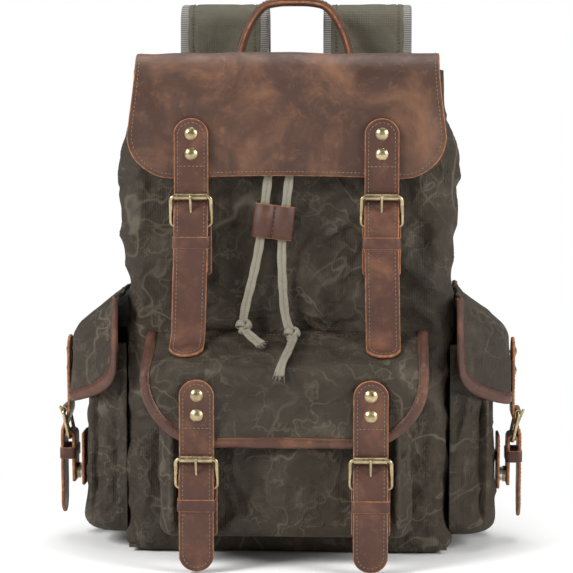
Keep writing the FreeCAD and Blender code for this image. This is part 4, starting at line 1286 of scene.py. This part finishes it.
class BACKPACK_OT_carrying(bpy.types.Operator):
    """Carry handle, padded shoulder straps with bound edges, and the lower webbing"""
    bl_idname = "backpack.carrying"
    bl_label = "Handle and shoulder straps"

    def execute(self, context):
        self.handle()
        self.webbing()
        for side, name in ((-1, "left"), (1, "right")):
            self.shoulder(side * 0.070, name)
        return {"FINISHED"}

    def handle(self):
        """Arched leather handle on its two anchors."""
        foot, low, top, y = 0.054, 0.4485, 0.5045, 0.092
        points = [(-foot, low), (-foot * 0.95, low + 0.020), (-foot * 0.62, top - 0.004), (-foot * 0.30, top),
                  (0, top + 0.0002), (foot * 0.30, top), (foot * 0.62, top - 0.004), (foot * 0.95,
                                                                                      low + 0.020),
                  (foot, low)]
        line, _ = nurbs_line([(x / MM, y / MM, z / MM) for x, z in points])
        bar = rounded_bar("carry_handle_leather", line, (0, 1, 0), 0.0072, 0.0040, (0.35, 0.75),
                          ("strap_leather", "edge"))
        settle(bar, "carry_handle", "strap_leather", "carry_handle")
        ahead = np.gradient(line, axis=0)
        ahead = ahead / np.linalg.norm(ahead, axis=1, keepdims=True)
        normal = np.cross(ahead, (0, 1, 0))
        if normal[110][2] < 0:
            normal = -normal
        runs = [(line + normal * 0.0041 + np.array((0, shift, 0)), normal) for shift in (-0.0045, 0.0045)]
        stitches("carry_handle_stitches", runs, "carry_handle")
        anchors, runs = [], []
        for side in (-1, 1):
            ends = np.array([(side * foot, at, 0.4405) for at in np.linspace(0.0756, 0.0992, 30)])
            anchors.append(rounded_bar("anchor_part", ends, (1, 0, 0), 0.0088, 0.0046, (0.35, 0.35),
                                       ("strap_leather", "edge")))
            seam = ends[2:-3] + np.array((0, 0, 0.0048))
            for shift in (-0.006, 0.006):
                runs.append((seam + np.array((shift, 0, 0)), np.tile((0, 0, 1.0), (len(seam), 1))))
        settle(joined("handle_anchor_leather", anchors), "root", "strap_leather", "handle_anchors")
        stitches("handle_anchor_stitches", runs, "root")

    def shoulder(self, centre, name):
        """One padded strap: crowned canvas face, quilted edge channel and ribbed binding."""
        profile = Profile(SHOULDER_PROFILE, SHOULDER_RADII)
        half = 0.042

        def surface(u, s):
            middle = flap_surface(profile, 0.010, lambda a, b: np.zeros(np.shape(a)))(u, s)
            middle[..., 0] += centre
            return middle
        u = np.linspace(-1, 1, 46)
        u = np.sign(u) * (1 - (1 - np.abs(u)) ** 1.5) * (half - 0.001)
        s = np.linspace(0.0005, profile.length - 0.0005, 210)
        across, along = np.meshgrid(u, s)
        middle = surface(across, along)
        normal = normals_of(middle)
        rim = np.clip((half - np.abs(across)) / 0.012, 0, 1)
        ends = smooth_step(np.minimum(along, profile.length - along), 0.0, 0.016)
        crown = 0.0016 + 0.0032 * np.sin(rim * math.pi / 2) * (0.35 + 0.65 * ends)
        dent = 0.0008 * np.exp(-((half - 0.0125 - np.abs(across)) / 0.0012) ** 2)
        wrinkle = 0.0008 * ridge(middle.reshape(-1, 3), 34.0, centre * 50).reshape(across.shape)
        crown = crown - dent - wrinkle * rim * 0.8
        front, back = middle + normal * crown[..., None], middle - normal * crown[..., None]
        rows, columns = across.shape
        points = np.concatenate([front.reshape(-1, 3), back.reshape(-1, 3)])
        faces, count = [], rows * columns
        for r in range(rows - 1):
            for c in range(columns - 1):
                a, b, d, e = r * columns + c, r * columns + c + 1, (r + 1) * columns + c + 1, (r + 1) * columns + c
                faces += [(a, e, d, b), (a + count, b + count, d + count, e + count)]
        ring = [(0, c) for c in range(columns)] + [(r, columns - 1) for r in range(1, rows)]
        ring += [(rows - 1, c) for c in range(columns - 2, -1, -1)] + [(r, 0) for r in range(rows - 2, 0, -1)]
        for (r, c), (n, m) in zip(ring, ring[1:] + ring[:1]):
            i, j = r * columns + c, n * columns + m
            faces.append((i, j, j + count, i + count))
        pad = outward(add_mesh("shoulder_pad_" + name, points, faces, ("strap_canvas",)))
        settle(pad, "root", "strap_canvas", "shoulder_strap_" + name)
        bands = []
        for edge in (-1, 1):
            at = np.linspace(0.001, profile.length - 0.001, 190)
            line = surface(np.full(190, edge * (half - 0.0042)), at)
            bands.append(rounded_bar("binding_part", line, (1, 0, 0), 0.0054, 0.0040, (0.45, 0.8),
                                     ("webbing", "webbing")))
        settle(joined("shoulder_binding_" + name, bands), "root", "webbing")
        at = np.linspace(0.006, profile.length - 0.006, 200)
        runs = []
        for edge in (-1, 1):
            base, way = surface_line(surface, np.full(200, edge * (half - 0.0115)), at, 0.0, 0)
            runs += [(base + way * 0.0046, way), (base - way * 0.0046, -way)]
        stitches("shoulder_stitches_" + name, runs, "root", "dark_thread", (0.0026, 0.0008))

    def webbing(self):
        """Lower webbing of both straps."""
        profile = Profile([(0.1402, 0.2005), (0.0792, 0.0362), (0.0764, 0.0145)], [0.020])
        parts = []
        for centre in (-0.070, 0.070):
            part, _ = leather_strip("webbing_part", profile, centre, 0, 0.025, 0.0016, (0.0002, 0.0002),
                                    ("webbing", "webbing", "webbing"), columns=14)
            parts.append(part)
        settle(joined("strap_webbing_bands", parts), "root", "webbing", "strap_webbing")


# ---------------------------------------------------------------- hardware, stage and panel

class BACKPACK_OT_hardware(bpy.types.Operator):
    """Antique brass and nickel finishes on the CAD buckles, rivets, snaps, eyelets and adjusters"""
    bl_idname = "backpack.hardware"
    bl_label = "Hardware"

    def execute(self, context):
        for name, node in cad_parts.items():
            if node.hide_render:
                continue
            key = "steel" if name == "snap_studs" else "lining" if name == "base_board" else "brass"
            node.data.materials.clear()
            node.data.materials.append(MATERIALS[key])
        return {"FINISHED"}


def light(name, place, aim, size, power, tone=(1, 1, 1)):
    """A soft rectangular light."""
    lamp = bpy.data.lights.new(name, "AREA")
    lamp.shape = "RECTANGLE"
    lamp.size, lamp.size_y = size
    lamp.energy = power
    lamp.color = tone
    holder = bpy.data.objects.new(name, lamp)
    holder.location = place
    holder.rotation_euler = (Vector(aim) - Vector(place)).to_track_quat("-Z", "Y").to_euler()
    bpy.context.scene.collection.objects.link(holder)
    return holder


class BACKPACK_OT_stage(bpy.types.Operator):
    """White studio floor, soft lights, world and camera"""
    bl_idname = "backpack.stage"
    bl_label = "Stage"

    def execute(self, context):
        scene = context.scene
        bpy.ops.mesh.primitive_plane_add(size=12, location=(0, 0, -0.0006))
        floor = context.active_object
        floor.name = "studio_floor"
        shade = Shade("studio_floor")
        away = shade.node("ShaderNodeVectorMath", Vector=shade.place)
        away.operation = "LENGTH"
        fade = shade.ramp(away.outputs["Value"], 0.22, 0.42)
        path = shade.node("ShaderNodeLightPath")
        seen = shade.math("MULTIPLY", fade, path.outputs["Is Camera Ray"])
        white = shade.node("ShaderNodeEmission", Strength=1.0)
        both = shade.tree.nodes.new("ShaderNodeMixShader")
        shade.put(both.inputs[0], seen)
        shade.put(both.inputs[1], shade.surface.outputs[0])
        shade.put(both.inputs[2], white.outputs[0])
        shade.put(shade.tree.nodes["Material Output"].inputs["Surface"], both.outputs[0])
        shade.finish((0.92, 0.92, 0.92), 0.9)
        floor.data.materials.append(shade.material)
        lights = [light("key_light", (-2.0, -1.4, 1.6), (0, 0, 0.25), (0.9, 1.2), 80),
                  light("fill_light", (2.1, -1.1, 1.2), (0, 0, 0.25), (0.9, 1.2), 52),
                  light("top_light", (0.1, 0.3, 2.2), (0, 0, 0.3), (1.6, 1.2), 30)]
        world = bpy.data.worlds.new("studio")
        scene.world = world
        world.use_nodes = True
        tree = world.node_tree
        back = tree.nodes["Background"]
        back.inputs["Color"].default_value = (1, 1, 1, 1)
        rays = tree.nodes.new("ShaderNodeLightPath")
        level = tree.nodes.new("ShaderNodeMapRange")
        tree.links.new(rays.outputs["Is Camera Ray"], level.inputs[0])
        level.inputs[3].default_value, level.inputs[4].default_value = 0.30, 1.0
        tree.links.new(level.outputs[0], back.inputs["Strength"])
        data = bpy.data.cameras.new("camera")
        data.lens, data.sensor_width = 135.0, 36.0
        camera = bpy.data.objects.new("camera", data)
        camera.location = (0.087, -sizes().camera_distance, 0.450)
        aim = Vector((-0.0005, -0.075, 0.246))
        camera.rotation_euler = (aim - camera.location).to_track_quat("-Z", "Y").to_euler()
        scene.collection.objects.link(camera)
        scene.camera = camera
        scene.view_settings.view_transform = "Standard"
        return {"FINISHED"}


STEPS = (BACKPACK_OT_stage, BACKPACK_OT_drawcords, BACKPACK_OT_body, BACKPACK_OT_pockets, BACKPACK_OT_flaps,
         BACKPACK_OT_straps, BACKPACK_OT_carrying, BACKPACK_OT_hardware)


class BACKPACK_PT_finishes(bpy.types.Panel):
    """Sidebar panel with one button per group of pieces"""
    bl_idname = "BACKPACK_PT_finishes"
    bl_label = "Backpack finishes"
    bl_space_type = "VIEW_3D"
    bl_region_type = "UI"
    bl_category = "Backpack"

    def draw(self, context):
        for group in (context.scene.backpack_colours, context.scene.backpack_sizes):
            box = self.layout.box()
            for key in group.__annotations__:
                box.prop(group, key)
        for step in STEPS:
            self.layout.operator(step.bl_idname)


CLASSES = (BackpackColours, BackpackSizes, *STEPS, BACKPACK_PT_finishes)


def register():
    """Add the settings, operators and panel."""
    for entry in CLASSES:
        bpy.utils.register_class(entry)
    bpy.types.Scene.backpack_colours = bpy.props.PointerProperty(type=BackpackColours)
    bpy.types.Scene.backpack_sizes = bpy.props.PointerProperty(type=BackpackSizes)


def unregister():
    """Take them away again."""
    del bpy.types.Scene.backpack_sizes
    del bpy.types.Scene.backpack_colours
    for entry in reversed(CLASSES):
        bpy.utils.unregister_class(entry)


def main():
    """Build every group in order."""
    register()
    make_materials()
    for step in STEPS:
        group, name = step.bl_idname.split(".")
        getattr(getattr(bpy.ops, group), name)()


if __name__ == "__main__":
    main()
